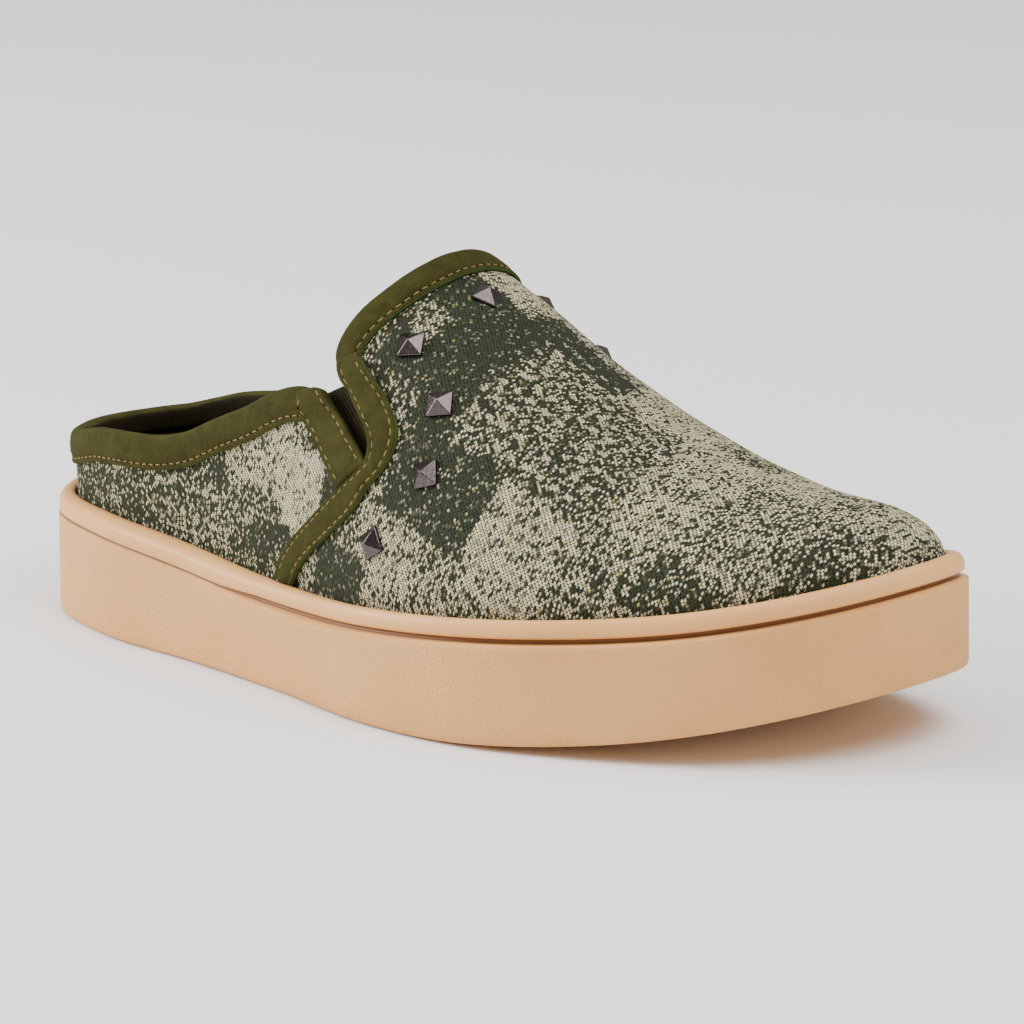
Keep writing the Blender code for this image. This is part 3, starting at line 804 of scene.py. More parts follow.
def laid_grid(points, maps=None, shades=None):
    """A bmesh grid with its corners on rows and columns of points. maps holds a UV map for each name and
    shades a value of each corner for each name, both in the same rows and columns."""
    rows, columns = points.shape[:2]
    sheet = bmesh.new()
    bmesh.ops.create_grid(sheet, x_segments=columns - 1, y_segments=rows - 1, size=1)
    places = (points + TO_FRAME).reshape(-1, 3).tolist()
    for corner, place in zip(sheet.verts, places):
        corner.co = place
    for name, table in (maps or {}).items():
        layer = sheet.loops.layers.uv.new(name)
        flat = table.reshape(-1, 2).tolist()
        for face in sheet.faces:
            for corner in face.loops:
                corner[layer].uv = flat[corner.vert.index]
    for name, table in (shades or {}).items():
        layer = sheet.verts.layers.float.new(name)
        for corner, value in zip(sheet.verts, np.ravel(table).tolist()):
            corner[layer] = value
    return sheet


def sew(sheet):
    """Joins the edges of a grid that lie on each other."""
    rim = [v for v in sheet.verts if v.is_boundary]
    bmesh.ops.remove_doubles(sheet, verts=rim, dist=MERGE)


def close_ends(sheet):
    rim = [e for e in sheet.edges if e.is_boundary]
    made = bmesh.ops.holes_fill(sheet, edges=rim, sides=0)
    bmesh.ops.triangulate(sheet, faces=made["faces"])


def piece(name, sheet, finishes, slot, *nodes):
    """Turns a bmesh into a finished piece of the shoe, which stands for these nodes of the frame."""
    bmesh.ops.recalc_face_normals(sheet, faces=sheet.faces)
    for face in sheet.faces:
        face.smooth = True
    mesh = bpy.data.meshes.new(name)
    sheet.to_mesh(mesh)
    sheet.free()
    for finish in finishes:
        mesh.materials.append(finish)
    made = bpy.data.objects.new(name, mesh)
    bpy.context.scene.collection.objects.link(made)
    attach(made, "root")
    if nodes:
        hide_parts(*nodes)
    return made


def finer(grid, row_split, column_split):
    """More rows and columns between those of a grid, in even straight steps."""
    rows, columns = grid.shape[:2]
    at = np.linspace(0, rows - 1, (rows - 1) * row_split + 1)
    r = np.minimum(at.astype(int), rows - 2)
    f = (at - r)[:, None, None]
    grid = grid[r] * (1 - f) + grid[r + 1] * f
    at = np.linspace(0, columns - 1, (columns - 1) * column_split + 1)
    c = np.minimum(at.astype(int), columns - 2)
    f = (at - c)[None, :, None]
    return grid[:, c] * (1 - f) + grid[:, c + 1] * f


def laid_flat(grid, flat):
    """Where each corner of a grid lies once the cloth is flat again, from a first guess."""
    both = ((0, 1), (1, 0), (1, 1), (1, -1))
    rows, columns = grid.shape[:2]
    for _ in range(FLATTENINGS):
        move = np.zeros_like(flat)
        for down, over in both:
            a = (slice(0, rows - down), slice(max(0, -over), columns - max(0, over)))
            b = (slice(down, rows), slice(max(0, over), columns + min(0, over)))
            rest = np.linalg.norm(grid[b] - grid[a], axis=-1)
            gap = flat[b] - flat[a]
            length = np.linalg.norm(gap, axis=-1)
            pull = gap * ((length - rest) / np.maximum(length, 1e-9) / 2)[..., None]
            move[a] += pull
            move[b] -= pull
        flat = flat + move * 0.22
    return flat


def share_and_down(points):
    """Share of the length and share of the way down from ridge to rim, of points on the last."""
    _, _, rim, ridge, _, _ = section(points[..., 0])
    lift = np.clip((points[..., 2] - rim) / np.maximum(ridge - rim, 1e-6), 0, 1)
    return points[..., 0] / LENGTH, np.arccos(lift) * 2 / math.pi


def relief(points, rim_gap):
    """How far the cloth stands off the last: the pull of the edges, the tuck at the rim and soft waves."""
    share, down = share_and_down(points)
    along = points[..., 0] / 0.001
    waves = np.sin(along * 0.21 + down * 5.0) * np.sin(along * 0.083 - down * 3.1 + 1.3)
    lift = 0.00010 * waves
    tuck = np.exp(-((rim_gap / 0.0035) ** 2))
    puckers = np.sin(along * 0.55 + points[..., 1] * 260) * np.clip((share - 0.55) / 0.3, 0, 1)
    lift = lift - 0.00035 * tuck + 0.00008 * puckers * np.exp(-((rim_gap / 0.006) ** 2))
    return lift


# Patches of the woven pattern. Columns: near and far end along the shoe, upper and lower end down the
# side, all in millimetres on the flat cloth; share of pale yarn, and how soft the edge is.
VAMP_PATCHES = [
    (160, 205, -3, 48, 0.34, 3.0), (205, 225, -3, 42, 0.62, 4.0), (225, 262, -3, 35, 0.46, 4.0),
    (178, 262, -26, 0, 0.72, 4.0), (205, 220, -24, -10, 0.35, 3.0), (236, 250, -16, 0, 0.45, 4.0),
    (129, 160, 0, 48, 0.06, 2.0), (127, 148, -20, -1, 0.75, 2.0), (148, 180, -13, 1, 0.04, 3.0),
    (128, 142, 18, 30, 0.35, 4.0), (128, 148, 40, 50, 0.35, 4.0), (250, 262, 15, 30, 0.30, 4.0),
    (150, 180, 48, 72, 0.18, 1.0), (180, 203, 48, 76, 0.70, 0.8), (203, 222, 45, 55, 0.50, 3.0),
    (222, 242, 40, 55, 0.28, 3.0), (150, 182, 72, 95, 0.58, 3.0), (148, 165, 75, 88, 0.70, 3.0),
    (130, 150, 87, 101, 0.12, 2.0), (150, 178, -46, -28, 0.62, 3.0), (178, 206, -52, -27, 0.20, 2.0),
    (206, 240, -48, -27, 0.55, 4.0), (125, 150, -50, -22, 0.15, 2.5), (128, 165, -78, -52, 0.72, 2.0),
    (165, 200, -76, -54, 0.30, 3.0), (200, 225, -66, -50, 0.68, 3.0), (130, 158, -102, -80, 0.22, 2.0),
]
QUARTER_PATCHES = [
    (50, 95, -18, -9, 0.32, 3.0), (60, 95, -27, -19, 0.25, 2.0), (70, 98, -10, 0, 0.40, 2.0),
    (97, 126, -42, -21, 0.68, 3.0), (97, 112, -43, -37, 0.40, 2.0), (118, 138, -34, -14, 0.82, 2.0),
    (137, 146, -31, -21, 0.10, 1.0), (95, 120, -20, -12, 0.40, 3.0), (108, 124, -15, -7, 0.20, 2.0),
    (-20, 15, -24, -8, 0.66, 4.0), (15, 45, -22, -4, 0.28, 4.0), (-60, -24, -30, -12, 0.25, 3.0),
    (-96, -62, -40, -20, 0.70, 2.0), (-90, -58, -16, 0, 0.22, 2.5), (-126, -98, -42, -22, 0.24, 2.0),
    (-130, -102, -20, -4, 0.62, 3.0),
]
# Share of pale yarn between the patches
QUARTER_PALE = 0.28
VAMP_PALE = 0.50
# Where the rows of pale dashes show. Columns: as above, and how strong they are.
VAMP_DASHES = [
    (158, 206, -4, 47, 1.0, 3.0), (204, 228, -4, 44, 0.55, 8.0),
    (148, 166, 73, 77, 0.8, 1.5), (178, 206, -52, -27, 0.9, 3.0),
]
QUARTER_DASHES = [(66, 94, -18, -14, 0.9, 1.5), (70, 98, -7, -3, 0.8, 1.5), (-90, -58, -16, -2, 0.8, 2.0)]
# How far the strips lap over the edge bindings: full height to the first length, gone by the second
VAMP_LAP = (0.0050, 0.0100)
QUARTER_LAP = (0.0065, 0.0115)


def tone_of(flat, patches, ground):
    """Share of pale yarn at places on the flat cloth."""
    u = flat[..., 0] * 1000
    v = flat[..., 1] * 1000
    tone = np.full(u.shape, ground)
    for near, far, upper, lower, pale, soft in patches:
        inside = np.minimum.reduce([u - near, far - u, v - upper, lower - v])
        mask = np.clip(inside / soft + 0.5, 0, 1)
        tone = tone + (pale - tone) * mask * mask * (3 - 2 * mask)
    return tone


def upper():
    coarse = upper_rows()
    coarse = np.concatenate([coarse, coarse[:, :1]], axis=1)
    grid = finer(coarse, ROW_SPLIT, COLUMN_SPLIT)
    top = around(topline(-1, COLUMN_SPLIT), topline(1, COLUMN_SPLIT))
    top = np.vstack([top, top[:1]])
    rise = np.linspace(0, 1, len(grid))[:, None, None] ** 6
    grid = settle(grid + (top - grid[-1])[None] * rise)
    out = normals(grid)
    rim_gap = np.maximum(grid[..., 2] - rim_top(grid[..., 0]), 0)
    outer = grid + out * relief(grid, rim_gap)[..., None]
    level = out.copy()
    level[..., 2] = 0
    level = unit(level)
    foot = outer[0].copy()
    foot[:, 2] = cup_floor(foot[:, 0]) + GAP
    inner = grid - out * WALL
    inner_foot = foot - level[0] * WALL
    middle_foot = (outer[0] + foot) / 2
    rows = np.concatenate(
        [foot[None], middle_foot[None], outer, inner[::-1], inner_foot[None], foot[None]]
    )
    count = coarse.shape[1] - 1
    guess = np.empty(coarse.shape[:2] + (2,))
    _, _, _, ridge, middle, _ = section(coarse[..., 0])
    drop = ridge - coarse[..., 2]
    across = middle - coarse[..., 1]
    guess[..., 0] = coarse[..., 0]
    guess[..., 1] = across + np.sign(across) * drop * 0.7
    vamp = slice(HEEL_COLUMNS, count - HEEL_COLUMNS + 1)
    vamp_flat = guess.copy()
    vamp_flat[:, vamp] = laid_flat(coarse[:, vamp], guess[:, vamp])
    back = TO_THROAT
    turned = np.roll(coarse[:, :-1], back, axis=1)[:, : 2 * back + 1]
    base = turned[0]
    run = run_along(base)
    run = run - run[back]
    first = np.stack(
        [np.broadcast_to(run, turned.shape[:2]), base[None, :, 2] - turned[..., 2]],
        -1,
    )
    laid = laid_flat(turned, first)
    quarter_flat = vamp_flat.copy()
    quarter_flat[:, : back + 1] = laid[:, back:]
    quarter_flat[:, count - back :] = laid[:, : back + 1]
    fine_vamp = finer(vamp_flat, ROW_SPLIT, COLUMN_SPLIT)
    fine_quarter = finer(quarter_flat, ROW_SPLIT, COLUMN_SPLIT)
    share, down = share_and_down(grid)
    strip_rows = np.array(VAMP_STRIP)
    seam = np.interp(down, strip_rows[:, 1], (strip_rows[:, 0] + strip_rows[:, 2]) / 2)
    seam = np.where(down < SEAM_TOP[1], SEAM_TOP[0], seam)
    behind = share < seam
    flat = np.where(behind[..., None], fine_quarter, fine_vamp)
    tone = np.where(
        behind,
        tone_of(fine_quarter, QUARTER_PATCHES, QUARTER_PALE),
        tone_of(fine_vamp, VAMP_PATCHES, VAMP_PALE),
    )
    dashes = np.where(
        behind,
        tone_of(fine_quarter, QUARTER_DASHES, 0.0),
        tone_of(fine_vamp, VAMP_DASHES, 0.0),
    )
    flat = np.concatenate([flat[:1], flat[:1], flat, flat[::-1], flat[:1], flat[:1]])
    tone = np.concatenate([tone[:1], tone[:1], tone, tone[::-1], tone[:1], tone[:1]])
    dashes = np.concatenate([dashes[:1], dashes[:1], dashes, dashes[::-1], dashes[:1], dashes[:1]])
    sheet = laid_grid(rows, {"cloth": flat}, {"tone": tone, "dashes": dashes})
    inside_from = (2 + len(outer) - 1) * (rows.shape[1] - 1)
    for number, face in enumerate(sheet.faces):
        face.material_index = int(number >= inside_from)
    sew(sheet)
    piece("woven_upper", sheet, [woven_textile(), lining_cloth()], "textile", "upper")


def shaped_ring(path, profile):
    """Rings of a profile along a path on the last. profile: (way down from the path, height off it)."""
    out = normals(path)
    along = unit(np.gradient(path, axis=0))
    down = unit(np.cross(out, along))
    rings = []
    for depth, shift in profile:
        if depth > 0:
            spot = settle(path + down * depth)
            rings.append(spot + normals(spot) * shift)
        else:
            rings.append(path + down * depth + out * shift)
    return np.array(rings).transpose(1, 0, 2)


# Top of a binding from its edge inwards: distance from the edge, height as a share of its thickness
BINDING_LIP = [
    (0.0, 0.40), (0.00015, 0.66), (0.0004, 0.80), (0.0008, 0.84),
    (0.0011, 0.72), (0.0014, 0.60), (0.0017, 0.72), (0.0022, 0.95),
]
# Faces across a binding that show the lining, first and last
LINED = (21, 31)


def edge_binding(name, path, node, puff=0.0):
    """A folded strip of nubuck over an edge of the upper, which lies to the left of the path."""
    path = settle(through(path, int(run_along(path)[-1] / RING_STEP)))
    inside = -(WALL + GAP)
    far = inside - STRIP_THICK
    thick = STRIP_THICK
    wide = BINDING_WIDTH
    profile = [
        (wide, GAP * 0.5),
        *((wide - back, GAP + thick * share) for back, share in BINDING_LIP),
        (wide - 0.0030, GAP + thick * 1.08 + puff * 0.6),
        (wide * 0.38, GAP + thick * 1.12 + puff),
        (wide * 0.22, GAP + thick * 1.10 + puff * 1.1),
        (0.0006, GAP + thick * 1.04 + puff),
    ]
    high = GAP + thick + puff * 0.8
    middle = (high + far) / 2
    half = (high - far) / 2
    for turn in np.linspace(0, math.pi, 11):
        reach = (BINDING_ROLL + puff * 0.3) * math.sin(turn)
        profile.append((-reach - 1e-6, middle + half * math.cos(turn)))
    profile += [
        (0.0008, far - 0.00008),
        (0.0018, far - 0.00006),
        (0.0030, far),
        (BINDING_INSIDE - 0.0006, far + thick * 0.05),
        (BINDING_INSIDE - 0.0002, far + thick * 0.25),
        (BINDING_INSIDE, far + thick * 0.6),
        (BINDING_INSIDE, inside),
        (0.0015, inside),
        (-0.0002, inside),
        (-0.0003, GAP),
        (wide * 0.3, GAP * 0.5),
        (wide * 0.7, GAP * 0.5),
    ]
    rings = shaped_ring(path, profile)
    run = run_along(path)
    from_end = np.minimum(run, run[-1] - run)
    fade = (1 - 0.5 * np.exp(-((from_end / 0.0020) ** 2)))[:, None, None]
    rolled = [k for k, (depth, _) in enumerate(profile) if depth < 0]
    rings[:, rolled] = path[:, None] + (rings[:, rolled] - path[:, None]) * fade
    rings = np.concatenate([rings, rings[:, :1]], axis=1)
    girth = run_along(np.array(profile + profile[:1]))
    flat = np.stack(np.broadcast_arrays(run[:, None], girth[None]), -1)
    raw = np.zeros(rings.shape[:2])
    raw[:, :4] = [0.6, 1.0, 0.75, 0.35]
    raw[:, -1] = 0.6
    raw[:, len(profile) - 7] = 0.7
    sheet = laid_grid(rings, {"cloth": flat}, {"raw": raw})
    for number, face in enumerate(sheet.faces):
        face.material_index = int(LINED[0] <= number % (rings.shape[1] - 1) <= LINED[1])
    sew(sheet)
    close_ends(sheet)
    piece(name, sheet, [nubuck(), lining_cloth()], "olive_suede", node)
    return path


def rear_length(table, side):
    return run_along(on_last(*np.array(table)[:, :2].T, side))[-1]


def strip_span(table, count, side):
    """Rear and front edge of a strip as shares and downs, in even steps, and its width there."""
    rear = through([row[:2] for row in table], count)
    front = through([row[2:] for row in table], count)
    return rear, front, np.linalg.norm(on_last(*rear.T, side) - on_last(*front.T, side), axis=1)


def strip_profile(width, thick):
    """Distance from the rear edge and height, over the top of a strip from rear to front."""
    w = width[:, None]
    near = np.array([0.0, 0.0001, 0.0003, 0.0007, 0.0013, 0.0017, 0.0021, 0.0026])
    middle = np.linspace(0, 1, 7)[None, 1:-1] * np.ones_like(w)
    reach = np.minimum(1, w / 0.0060)
    distance = np.concatenate(
        [near[None] * reach, 0.0026 * reach + (w - 0.0052 * reach) * middle, w - near[None, ::-1] * reach],
        axis=1,
    )
    heights = np.array([0.45, 0.68, 0.84, 0.90, 0.86, 0.74, 0.86, 0.97])
    crown = np.array([1.03, 1.07, 1.09, 1.07, 1.03])
    height = np.concatenate([heights, crown, heights[::-1]]) * thick
    return distance, np.broadcast_to(height, distance.shape)


def lap_height(run, lap):
    """How far a strip is lifted where it starts on top of a binding."""
    share = np.clip((run - lap[0]) / (lap[1] - lap[0]), 0, 1)
    return STRIP_THICK * 1.05 * (1 - share * share * (3 - 2 * share))


def nubuck_strip(name, table, side, node, lap, raw_front):
    """A flat strip of nubuck with two sunk seams, between the two edges of a table."""
    length = rear_length(table, side)
    count = int(length / RING_STEP)
    rear, front, width = strip_span(table, count, side)
    distance, height = strip_profile(width, STRIP_THICK)
    mix = (distance / width[:, None])[..., None]
    both = rear[:, None] * (1 - mix) + front[:, None] * mix
    spots = on_last(both[..., 0], both[..., 1], side)
    out = normals(spots)
    run = np.linspace(0, length, count)
    ground = GAP + lap_height(run, lap)[:, None]
    rounded = 1 - 0.55 * np.exp(-run / 0.0007)[:, None]
    top = spots + out * (ground + height * rounded)[..., None]
    under = spots[:, ::-2] + out[:, ::-2] * (GAP * 0.4)
    rings = np.concatenate([top, under, top[:, :1]], axis=1)
    girth = np.concatenate([distance, distance[:, ::-2] + 0.02, distance[:, :1] + 0.04], axis=1)
    flat = np.stack([np.broadcast_to(run[:, None], girth.shape), girth], -1)
    raw = np.zeros(rings.shape[:2])
    last = top.shape[1] - 1
    if raw_front:
        raw[:, last - 2 : last + 2] = [0.45, 0.8, 1.0, 0.7]
    raw[:, :3] = [0.55, 0.4, 0.15]
    raw[:, -1] = 0.55
    sheet = laid_grid(rings, {"cloth": flat}, {"raw": raw})
    sew(sheet)
    close_ends(sheet)
    piece(name, sheet, [nubuck()], "olive_suede", node)


def stretched_ball(sheet, place, turn, half_sizes, on_side=False):
    """A small stretched ball in a mesh, turned and placed, its poles up or along its length."""
    spot = Matrix.Translation(Vector((place + TO_FRAME).tolist()))
    shape = spot @ turn @ Matrix.Diagonal((*half_sizes, 1))
    if on_side:
        shape = shape @ Matrix.Rotation(math.pi / 2, 4, "Y")
    return bmesh.ops.create_uvsphere(sheet, u_segments=8, v_segments=6, radius=1, matrix=shape)["verts"]


def stitches(name, line):
    """A row of thread stitches along a line of points, each a grain that dips at both ends, with a dark
    ball of painted shade in each needle hole between them.
    """
    run = run_along(line)
    count = max(1, int(run[-1] / STITCH_PITCH))
    at = (np.arange(count) + 0.5) * run[-1] / count
    places = np.stack([np.interp(at, run, line[:, k]) for k in range(3)], -1)
    ahead = np.stack([np.interp(at + 0.0005, run, line[:, k]) for k in range(3)], -1)
    behind = np.stack([np.interp(at - 0.0005, run, line[:, k]) for k in range(3)], -1)
    along = unit(ahead - behind)
    out = normals(settle(places))
    row = bmesh.new()
    thick = STITCH_THICK / 2
    for number, (place, way, up) in enumerate(zip(places, along, out)):
        up = unit(up - way * (up @ way))
        side = np.cross(up, way)
        lean = 0.10 * math.sin(number * 2.4)
        way = unit(way + side * lean)
        side = np.cross(up, way)
        turn = Matrix(np.column_stack([way, side, up]).tolist()).to_4x4()
        stretched_ball(row, place, turn, (STITCH_LENGTH / 2, thick, thick * 0.9), on_side=True)
        # Between stitches, a small near-black ball sunk into the cloth: painted shade of the needle hole.
        sunk = place + way * (STITCH_PITCH / 2) - up * 0.00010
        hole_shade = stretched_ball(row, sunk, turn, (0.00042, 0.00027, 0.00013))
        for face in {face for corner in hole_shade for face in corner.link_faces}:
            face.material_index = 1
    piece(name, row, [thread(), needle_hole_shade()], "olive_suede")


def seam_on_strip(name, table, side, from_front, lift, lap, start, end):
    """Stitches along a strip, at a distance from its front edge, or from its rear edge if negative."""
    rear, front, width = strip_span(table, SEAM_STEPS, side)
    mix = 1 - from_front / width if from_front > 0 else -from_front / width
    both = rear * (1 - mix[:, None]) + front * mix[:, None]
    keep = slice(int(start * (SEAM_STEPS - 1)), int(end * (SEAM_STEPS - 1)) + 1)
    run = np.linspace(0, rear_length(table, side), SEAM_STEPS)
    spots = on_last(both[keep, 0], both[keep, 1], side)
    high = lift + lap_height(run[keep], lap)
    stitches(name, spots + normals(spots) * high[:, None])


def seam_on_binding(name, path, depth, lift):
    out = normals(path)
    along = unit(np.gradient(path, axis=0))
    spot = settle(path + unit(np.cross(out, along)) * depth)
    stitches(name, spot + normals(spot) * lift)


def elastic_gore(name, side, node):
    """Ribbed elastic: its cords run down its length."""
    rear, front, _ = strip_span(GORE, GORE_STEPS, side)
    mix = np.linspace(0, 1, GORE_COLUMNS)[None, :, None]
    both = rear[:, None] * (1 - mix) + front[:, None] * mix
    spots = on_last(both[..., 0], both[..., 1], side)
    out = normals(spots)
    ribs = np.abs(np.sin(np.linspace(0, RIBS * math.pi, GORE_COLUMNS))) ** 0.7
    inner = -(WALL + GAP)
    top = spots + out * (inner - 0.0003 + 0.0003 * ribs[None])[..., None]
    under = spots[:, ::-4] + out[:, ::-4] * (inner - GORE_THICK)
    rings = np.concatenate([top, under, top[:, :1]], axis=1)
    girth = np.linspace(0, 1, rings.shape[1]) * 0.03
    flat = np.stack(np.broadcast_arrays(np.linspace(0, 0.03, GORE_STEPS)[:, None], girth[None]), -1)
    # How much painted shade darkens each place: full in the hollows between the ribs, none on the
    # underside.
    hollow_shade = np.concatenate([1 - ribs, np.zeros(under.shape[1]), [1.0]])
    sheet = laid_grid(rings, {"cloth": flat}, {"hollow_shade": np.broadcast_to(hollow_shade, rings.shape[:2])})
    sew(sheet)
    close_ends(sheet)
    piece(name, sheet, [elastic_cord()], "elastic", node)


def pyramid_stud(name, share, down, turn, side, node):
    """A pressed pyramid with softened edges on a thin square foot."""
    centre = on_last(share, down, side)[None]
    out = normals(centre)[0]
    ahead = unit(on_last(share + 0.01, down, side) - centre[0])
    ahead = unit(ahead - out * (ahead @ out))
    angle = math.radians(turn) * -side
    ahead = ahead * math.cos(angle) + np.cross(out, ahead) * math.sin(angle)
    across = np.cross(out, ahead)
    base = centre[0] + out * GAP * 0.4 + TO_FRAME
    stud = bmesh.new()
    half = STUD_SIDE / 2
    bmesh.ops.create_grid(stud, x_segments=1, y_segments=1, size=half)
    raised = bmesh.ops.extrude_face_region(stud, geom=list(stud.faces))["geom"]
    top = [g for g in raised if isinstance(g, bmesh.types.BMFace)][0]
    bmesh.ops.translate(stud, verts=top.verts, vec=(0, 0, STUD_SKIRT))
    peak = bmesh.ops.poke(stud, faces=[top])["verts"]
    bmesh.ops.translate(stud, verts=peak, vec=(0, 0, STUD_HEIGHT - STUD_SKIRT))
    edges = [e for e in stud.edges if max(v.co.z for v in e.verts) > STUD_SKIRT / 2]
    bmesh.ops.bevel(
        stud, geom=edges, offset=0.00014, segments=2, affect="EDGES", profile=0.5, material=-1
    )
    frame_turn = Matrix(np.column_stack([ahead, across, out]).tolist()).to_4x4()
    frame_turn.translation = Vector(base.tolist())
    bmesh.ops.transform(stud, matrix=frame_turn, verts=stud.verts)
    made = piece(name, stud, [gunmetal()], "gunmetal", node)
    for face in made.data.polygons:
        face.use_smooth = face.area < BEVEL_FACE


def sole():
    def draft(x):
        return HEEL_DRAFT * np.clip(1 - x / (0.25 * LENGTH), 0, 1)

    def ledge(x):
        return smooth(LEDGE, 1, x / LENGTH) + draft(x)

    def wall_top(x):
        return rim_top(x) - BAND_HEIGHT

    near = matched_loop(0.0)
    far = matched_loop(0.006)
    x = near[:, 0]
    low = spring(x)
    open_share = np.clip((smooth(LEDGE, 1, x / LENGTH) - 0.0003) / 0.0005, 0, 1)
    groove = ledge(x) + 0.0006 + 0.0010 * open_share
    tall = 0.45 + 0.75 * open_share
    # Rings: distance in from the outline, height, and grain. Grain is the rubber's grain strength where
    # above zero; below zero it is painted shade in the groove and down the inside of the rim.
    rings = [
        (0.0016, low, 0),
        (0.0009, low + 0.0001, 0.2),
        (0.0004, low + 0.0005, 0.6),
        (0.0001, low + 0.0012, 1),
        (0.0, low + 0.0022, 1),
    ]
    for part in np.linspace(0.15, 1, 7):
        rings.append((draft(x) * part, low + 0.0022 + (wall_top(x) - 0.0012 - low - 0.0022) * part, 1))
    rings += [
        (draft(x) + 0.00003, wall_top(x) - 0.00045, 1),
        (draft(x) + 0.00012, wall_top(x) - 0.00018, 0.8),
        (draft(x) + 0.00032, wall_top(x) - 0.00004, 0.2),
        (groove - 0.0005, wall_top(x) + 0.00001, -0.3),
        (groove - 0.00015, wall_top(x) + 0.00008 * tall, -1),
        (groove, wall_top(x) + 0.0005 * tall, -1),
        (groove - 0.0001, wall_top(x) + 0.0009 * tall, -1),
        (ledge(x) + 0.0006, wall_top(x) + 0.00110 * tall, -0.8),
        (ledge(x) + 0.00022, wall_top(x) + 0.00128 * tall, -0.1),
        (ledge(x) + 0.00006, wall_top(x) + 0.00155 * tall, 0),
        (ledge(x), wall_top(x) + 0.0021, 0),
    ]
    for turn in np.linspace(0, 80, 9):
        c = math.cos(math.radians(turn))
        s = math.sin(math.radians(turn))
        start = ledge(x)
        rings.append((start + (0.0034 - start) * (1 - c), rim_top(x) - 0.0028 + 0.0028 * s, 0))
    rings += [
        (0.0040, rim_top(x) - 0.00001, 0),
        (UPPER_INSET - 0.0004, rim_top(x) - 0.00025, -0.2),
        (UPPER_INSET - 0.0001, rim_top(x) - 0.0008, -0.8),
        (UPPER_INSET - 0.0002, rim_top(x) - 0.0030, -1),
        (CUP_INSET, cup_floor(x), 0),
    ]
    points = []
    shades = []
    for distance, height, grain in rings:
        part = (np.asarray(distance) / 0.006 * np.ones(len(near)))[:, None]
        points.append(np.column_stack([near * (1 - part) + far * part, height]))
        shades.append(np.full(len(near) + 1, float(grain)))
    points = np.array(points)
    points = np.concatenate([points, points[:, :1]], axis=1)
    around_run = run_along(points[4])
    flat = np.stack(np.broadcast_arrays(around_run[None], points[..., 2]), -1)
    body = laid_grid(points, {"wall": flat}, {"grain": np.array(shades)})
    mesh = bpy.data.meshes.new("part")
    for ring in (points[0], points[-1]):
        count = len(ring) - 1
        half = count // 2
        a = ring[: half + 1]
        b = np.vstack([ring[:1], ring[half:count][::-1]])
        mix = np.linspace(0, 1, 31)[:, None, None]
        deck = a[None] * (1 - mix) + b[None] * mix
        grain = np.zeros(deck.shape[:2])
        cap = laid_grid(deck, {"wall": deck[..., :2]}, {"grain": grain})
        cap.to_mesh(mesh)
        cap.free()
        body.from_mesh(mesh)
    bpy.data.meshes.remove(mesh)
    bmesh.ops.remove_doubles(body, verts=body.verts, dist=MERGE)
    piece("cupsole", body, [sole_rubber()], "sole_rubber", "sole")


def insole():
    distance = UPPER_INSET + WALL + 0.0003
    loop = matched_loop(distance)
    half = len(loop) // 2
    a = loop[: half + 1]
    b = np.vstack([loop[:1], loop[half:][::-1]])
    mix = np.linspace(0, 1, 29)[:, None, None]
    deck = a[None] * (1 - mix) + b[None] * mix
    x = deck[..., 0]
    edge = np.minimum(np.linalg.norm(deck - a[None], axis=-1), np.linalg.norm(deck - b[None], axis=-1))
    edge = np.minimum(edge, np.minimum(x - x.min(), x.max() - x) * 2)
    crown = INSOLE_THICK - 0.0007 * np.exp(-((edge / 0.0012) ** 2))
    dish = 0.0005 * np.exp(-(((x - 0.20 * LENGTH) / 0.028) ** 2)) * np.clip(edge / 0.01, 0, 1)
    top = np.dstack([deck, cup_floor(x) + GAP + crown - dish])
    under = np.dstack([deck, cup_floor(x) + GAP])
    rings = np.concatenate([top, under[::-1], top[:1]])
    flat = np.concatenate([deck, deck[::-1], deck[:1]])
    sheet = laid_grid(rings, {"cloth": flat})
    bmesh.ops.remove_doubles(sheet, verts=sheet.verts, dist=MERGE)
    piece("cushioned_insole", sheet, [insole_cloth()], "lining", "insole")


# Strips of one side: name, table, lap, and seams (edge, distance from it, first and last share)
STRIPS = [
    (
        "vamp",
        VAMP_STRIP,
        VAMP_LAP,
        [("front", STRIP_SEAM, 0.03, 0.97), ("rear", -STRIP_SEAM, 0.05, 0.97)],
    ),
    (
        "quarter",
        QUARTER_STRIP,
        QUARTER_LAP,
        [("front", STRIP_SEAM, 0.08, 0.93), ("rear", -QUARTER_REAR_SEAM, 0.13, 0.95)],
    ),
]


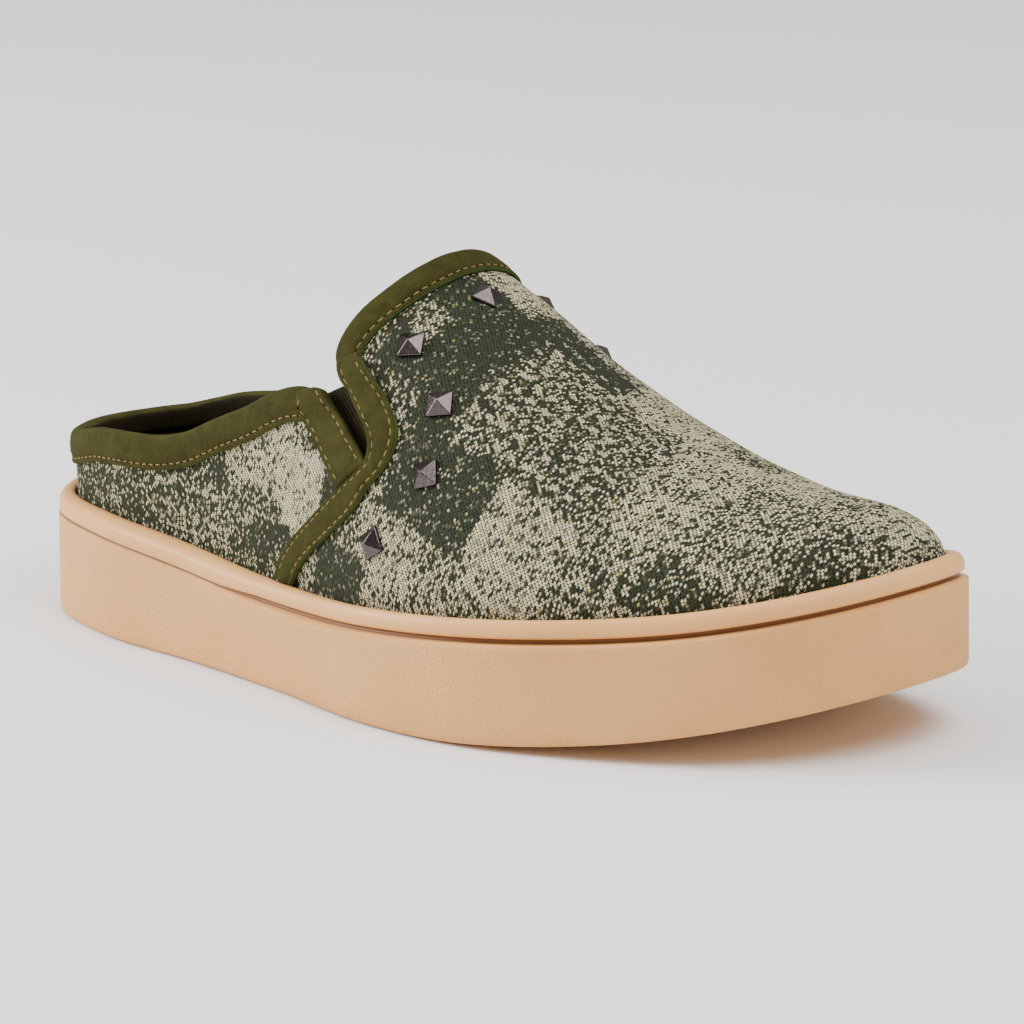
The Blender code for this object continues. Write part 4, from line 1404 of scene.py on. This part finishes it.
def dress_shoe():
    sole()
    insole()
    upper()
    tops = {-1: topline(-1), 1: topline(1)}
    ends = COLLAR_COLUMNS - 1
    stops = [tops[side][ends] * 0.05 + tops[side][ends + 1] * 0.95 for side in (-1, 1)]
    collar = np.vstack([stops[0], tops[-1][: ends + 1][::-1], tops[1][1 : ends + 1], stops[1]])
    collar = edge_binding("collar_edge", collar, "collar_binding", 0.0003)
    first = TO_THROAT
    starts = [tops[side][first] * 0.6 + tops[side][first + 1] * 0.4 for side in (-1, 1)]
    over = np.vstack([tops[-1][first + 1 :], tops[1][first + 1 :][::-1][1:]])
    throat = np.vstack([starts[0], over, starts[1]])[::-1]
    throat = edge_binding("throat_edge", throat, "throat_binding", 0.0)
    lift = GAP + STRIP_THICK * 0.74
    seam_on_binding("collar_seam", collar, BINDING_WIDTH - BINDING_SEAM, lift)
    seam_on_binding("throat_seam", throat, BINDING_WIDTH - BINDING_SEAM, lift)
    for side, word in ((-1, "lateral"), (1, "medial")):
        elastic_gore(f"elastic_{word}", side, f"gore_{word}")
        for part, table, lap, seams in STRIPS:
            raw_front = part == "vamp"
            nubuck_strip(f"{part}_edge_{word}", table, side, f"{part}_strip_{word}", lap, raw_front)
            for edge, inset_by, start, end in seams:
                seam_on_strip(f"{part}_seam_{edge}_{word}", table, side, inset_by, lift, lap, start, end)
    pyramid_stud("stud_centre", *STUD_CENTRE, -1, "stud_1")
    number = 2
    for share, down, turn in STUD_PAIRS:
        for side, word in ((-1, "lateral"), (1, "medial")):
            back = STUD_INNER_SHIFT if side > 0 else 0.0
            name = f"stud_{word}_{number // 2}"
            pyramid_stud(name, share - back, down, turn, side, f"stud_{number}")
            number += 1


FLOOR_SIZE = 4.0
FLOOR_GAP = 0.0002


def pale_floor():
    ground = bmesh.new()
    bmesh.ops.create_grid(ground, x_segments=2, y_segments=2, size=FLOOR_SIZE)
    mesh = bpy.data.meshes.new("floor")
    ground.to_mesh(mesh)
    ground.free()
    made, tree, shader = finish("pale_floor", {"Roughness": 0.9, "Specular IOR Level": 0.1})
    place = object_place(tree, 1.0)
    colour = blend_colour(tree, noise(tree, place, 3.0), (0.88, 0.88, 0.88, 1), (0.90, 0.90, 0.90, 1))
    wear(tree, shader, colour)
    mesh.materials.append(made)
    floor = bpy.data.objects.new("floor", mesh)
    bpy.context.scene.collection.objects.link(floor)
    floor.location.z = -FLOOR_GAP


def soft_light(name, place, target, size, power):
    light = bpy.data.lights.new(name, "AREA")
    light.shape = "RECTANGLE"
    light.size = size
    light.size_y = size
    light.energy = power
    made = bpy.data.objects.new(name, light)
    bpy.context.scene.collection.objects.link(made)
    way = Vector(target) - Vector(place)
    made.location = place
    made.rotation_euler = way.to_track_quat("-Z", "Y").to_euler()


# Soft lights: name, place, target, side in metres, watts
LIGHTS = [
    ("ceiling", (-0.3, 0.3, 3.0), (0.0, 0.3, 0.0), 4.5, 112),
    ("key", (-1.4, -0.9, 0.7), (0.0, 0.0, 0.04), 0.9, 46),
    ("toe", (1.4, 0.1, 0.40), (0.1, 0.0, 0.04), 0.4, 1.5),
    ("glint", (0.80, -0.12, 1.16), (0.02, 0.0, 0.08), 0.75, 13),
]


def studio():
    world = bpy.data.worlds.new("studio")
    bpy.context.scene.world = world
    world.use_nodes = True
    background = world.node_tree.nodes["Background"]
    background.inputs["Color"].default_value = (1.0, 1.0, 1.0, 1)
    background.inputs["Strength"].default_value = 0.36
    pale_floor()
    for light in LIGHTS:
        soft_light(*light)


def photo_camera():
    """The camera of the photograph: its angle round the shoe, its height, its roll and its lens."""
    angle = math.radians(42.061)
    rise = math.radians(13.550)
    roll = math.radians(-1.262)
    distance = 1.181
    target = Vector((0.01515, -0.00030 - MIDDLE, 0.04181))
    back = Vector(
        (math.sin(angle) * math.cos(rise), -math.cos(angle) * math.cos(rise), math.sin(rise))
    )
    right = Vector((math.cos(angle), math.sin(angle), 0))
    up = back.cross(right)
    turned_right = right * math.cos(roll) + up * math.sin(roll)
    turned_up = up * math.cos(roll) - right * math.sin(roll)
    lens = bpy.data.cameras.new("photo")
    lens.sensor_width = 36
    lens.lens = 4817.4 / 1024 * 36
    lens.clip_start = 0.05
    lens.clip_end = 50
    made = bpy.data.objects.new("photo", lens)
    bpy.context.scene.collection.objects.link(made)
    turn = Matrix((turned_right, turned_up, back)).transposed().to_4x4()
    turn.translation = target + back * distance
    made.matrix_world = turn
    bpy.context.scene.camera = made


dress_shoe()
studio()
photo_camera()
bpy.context.view_layer.update()
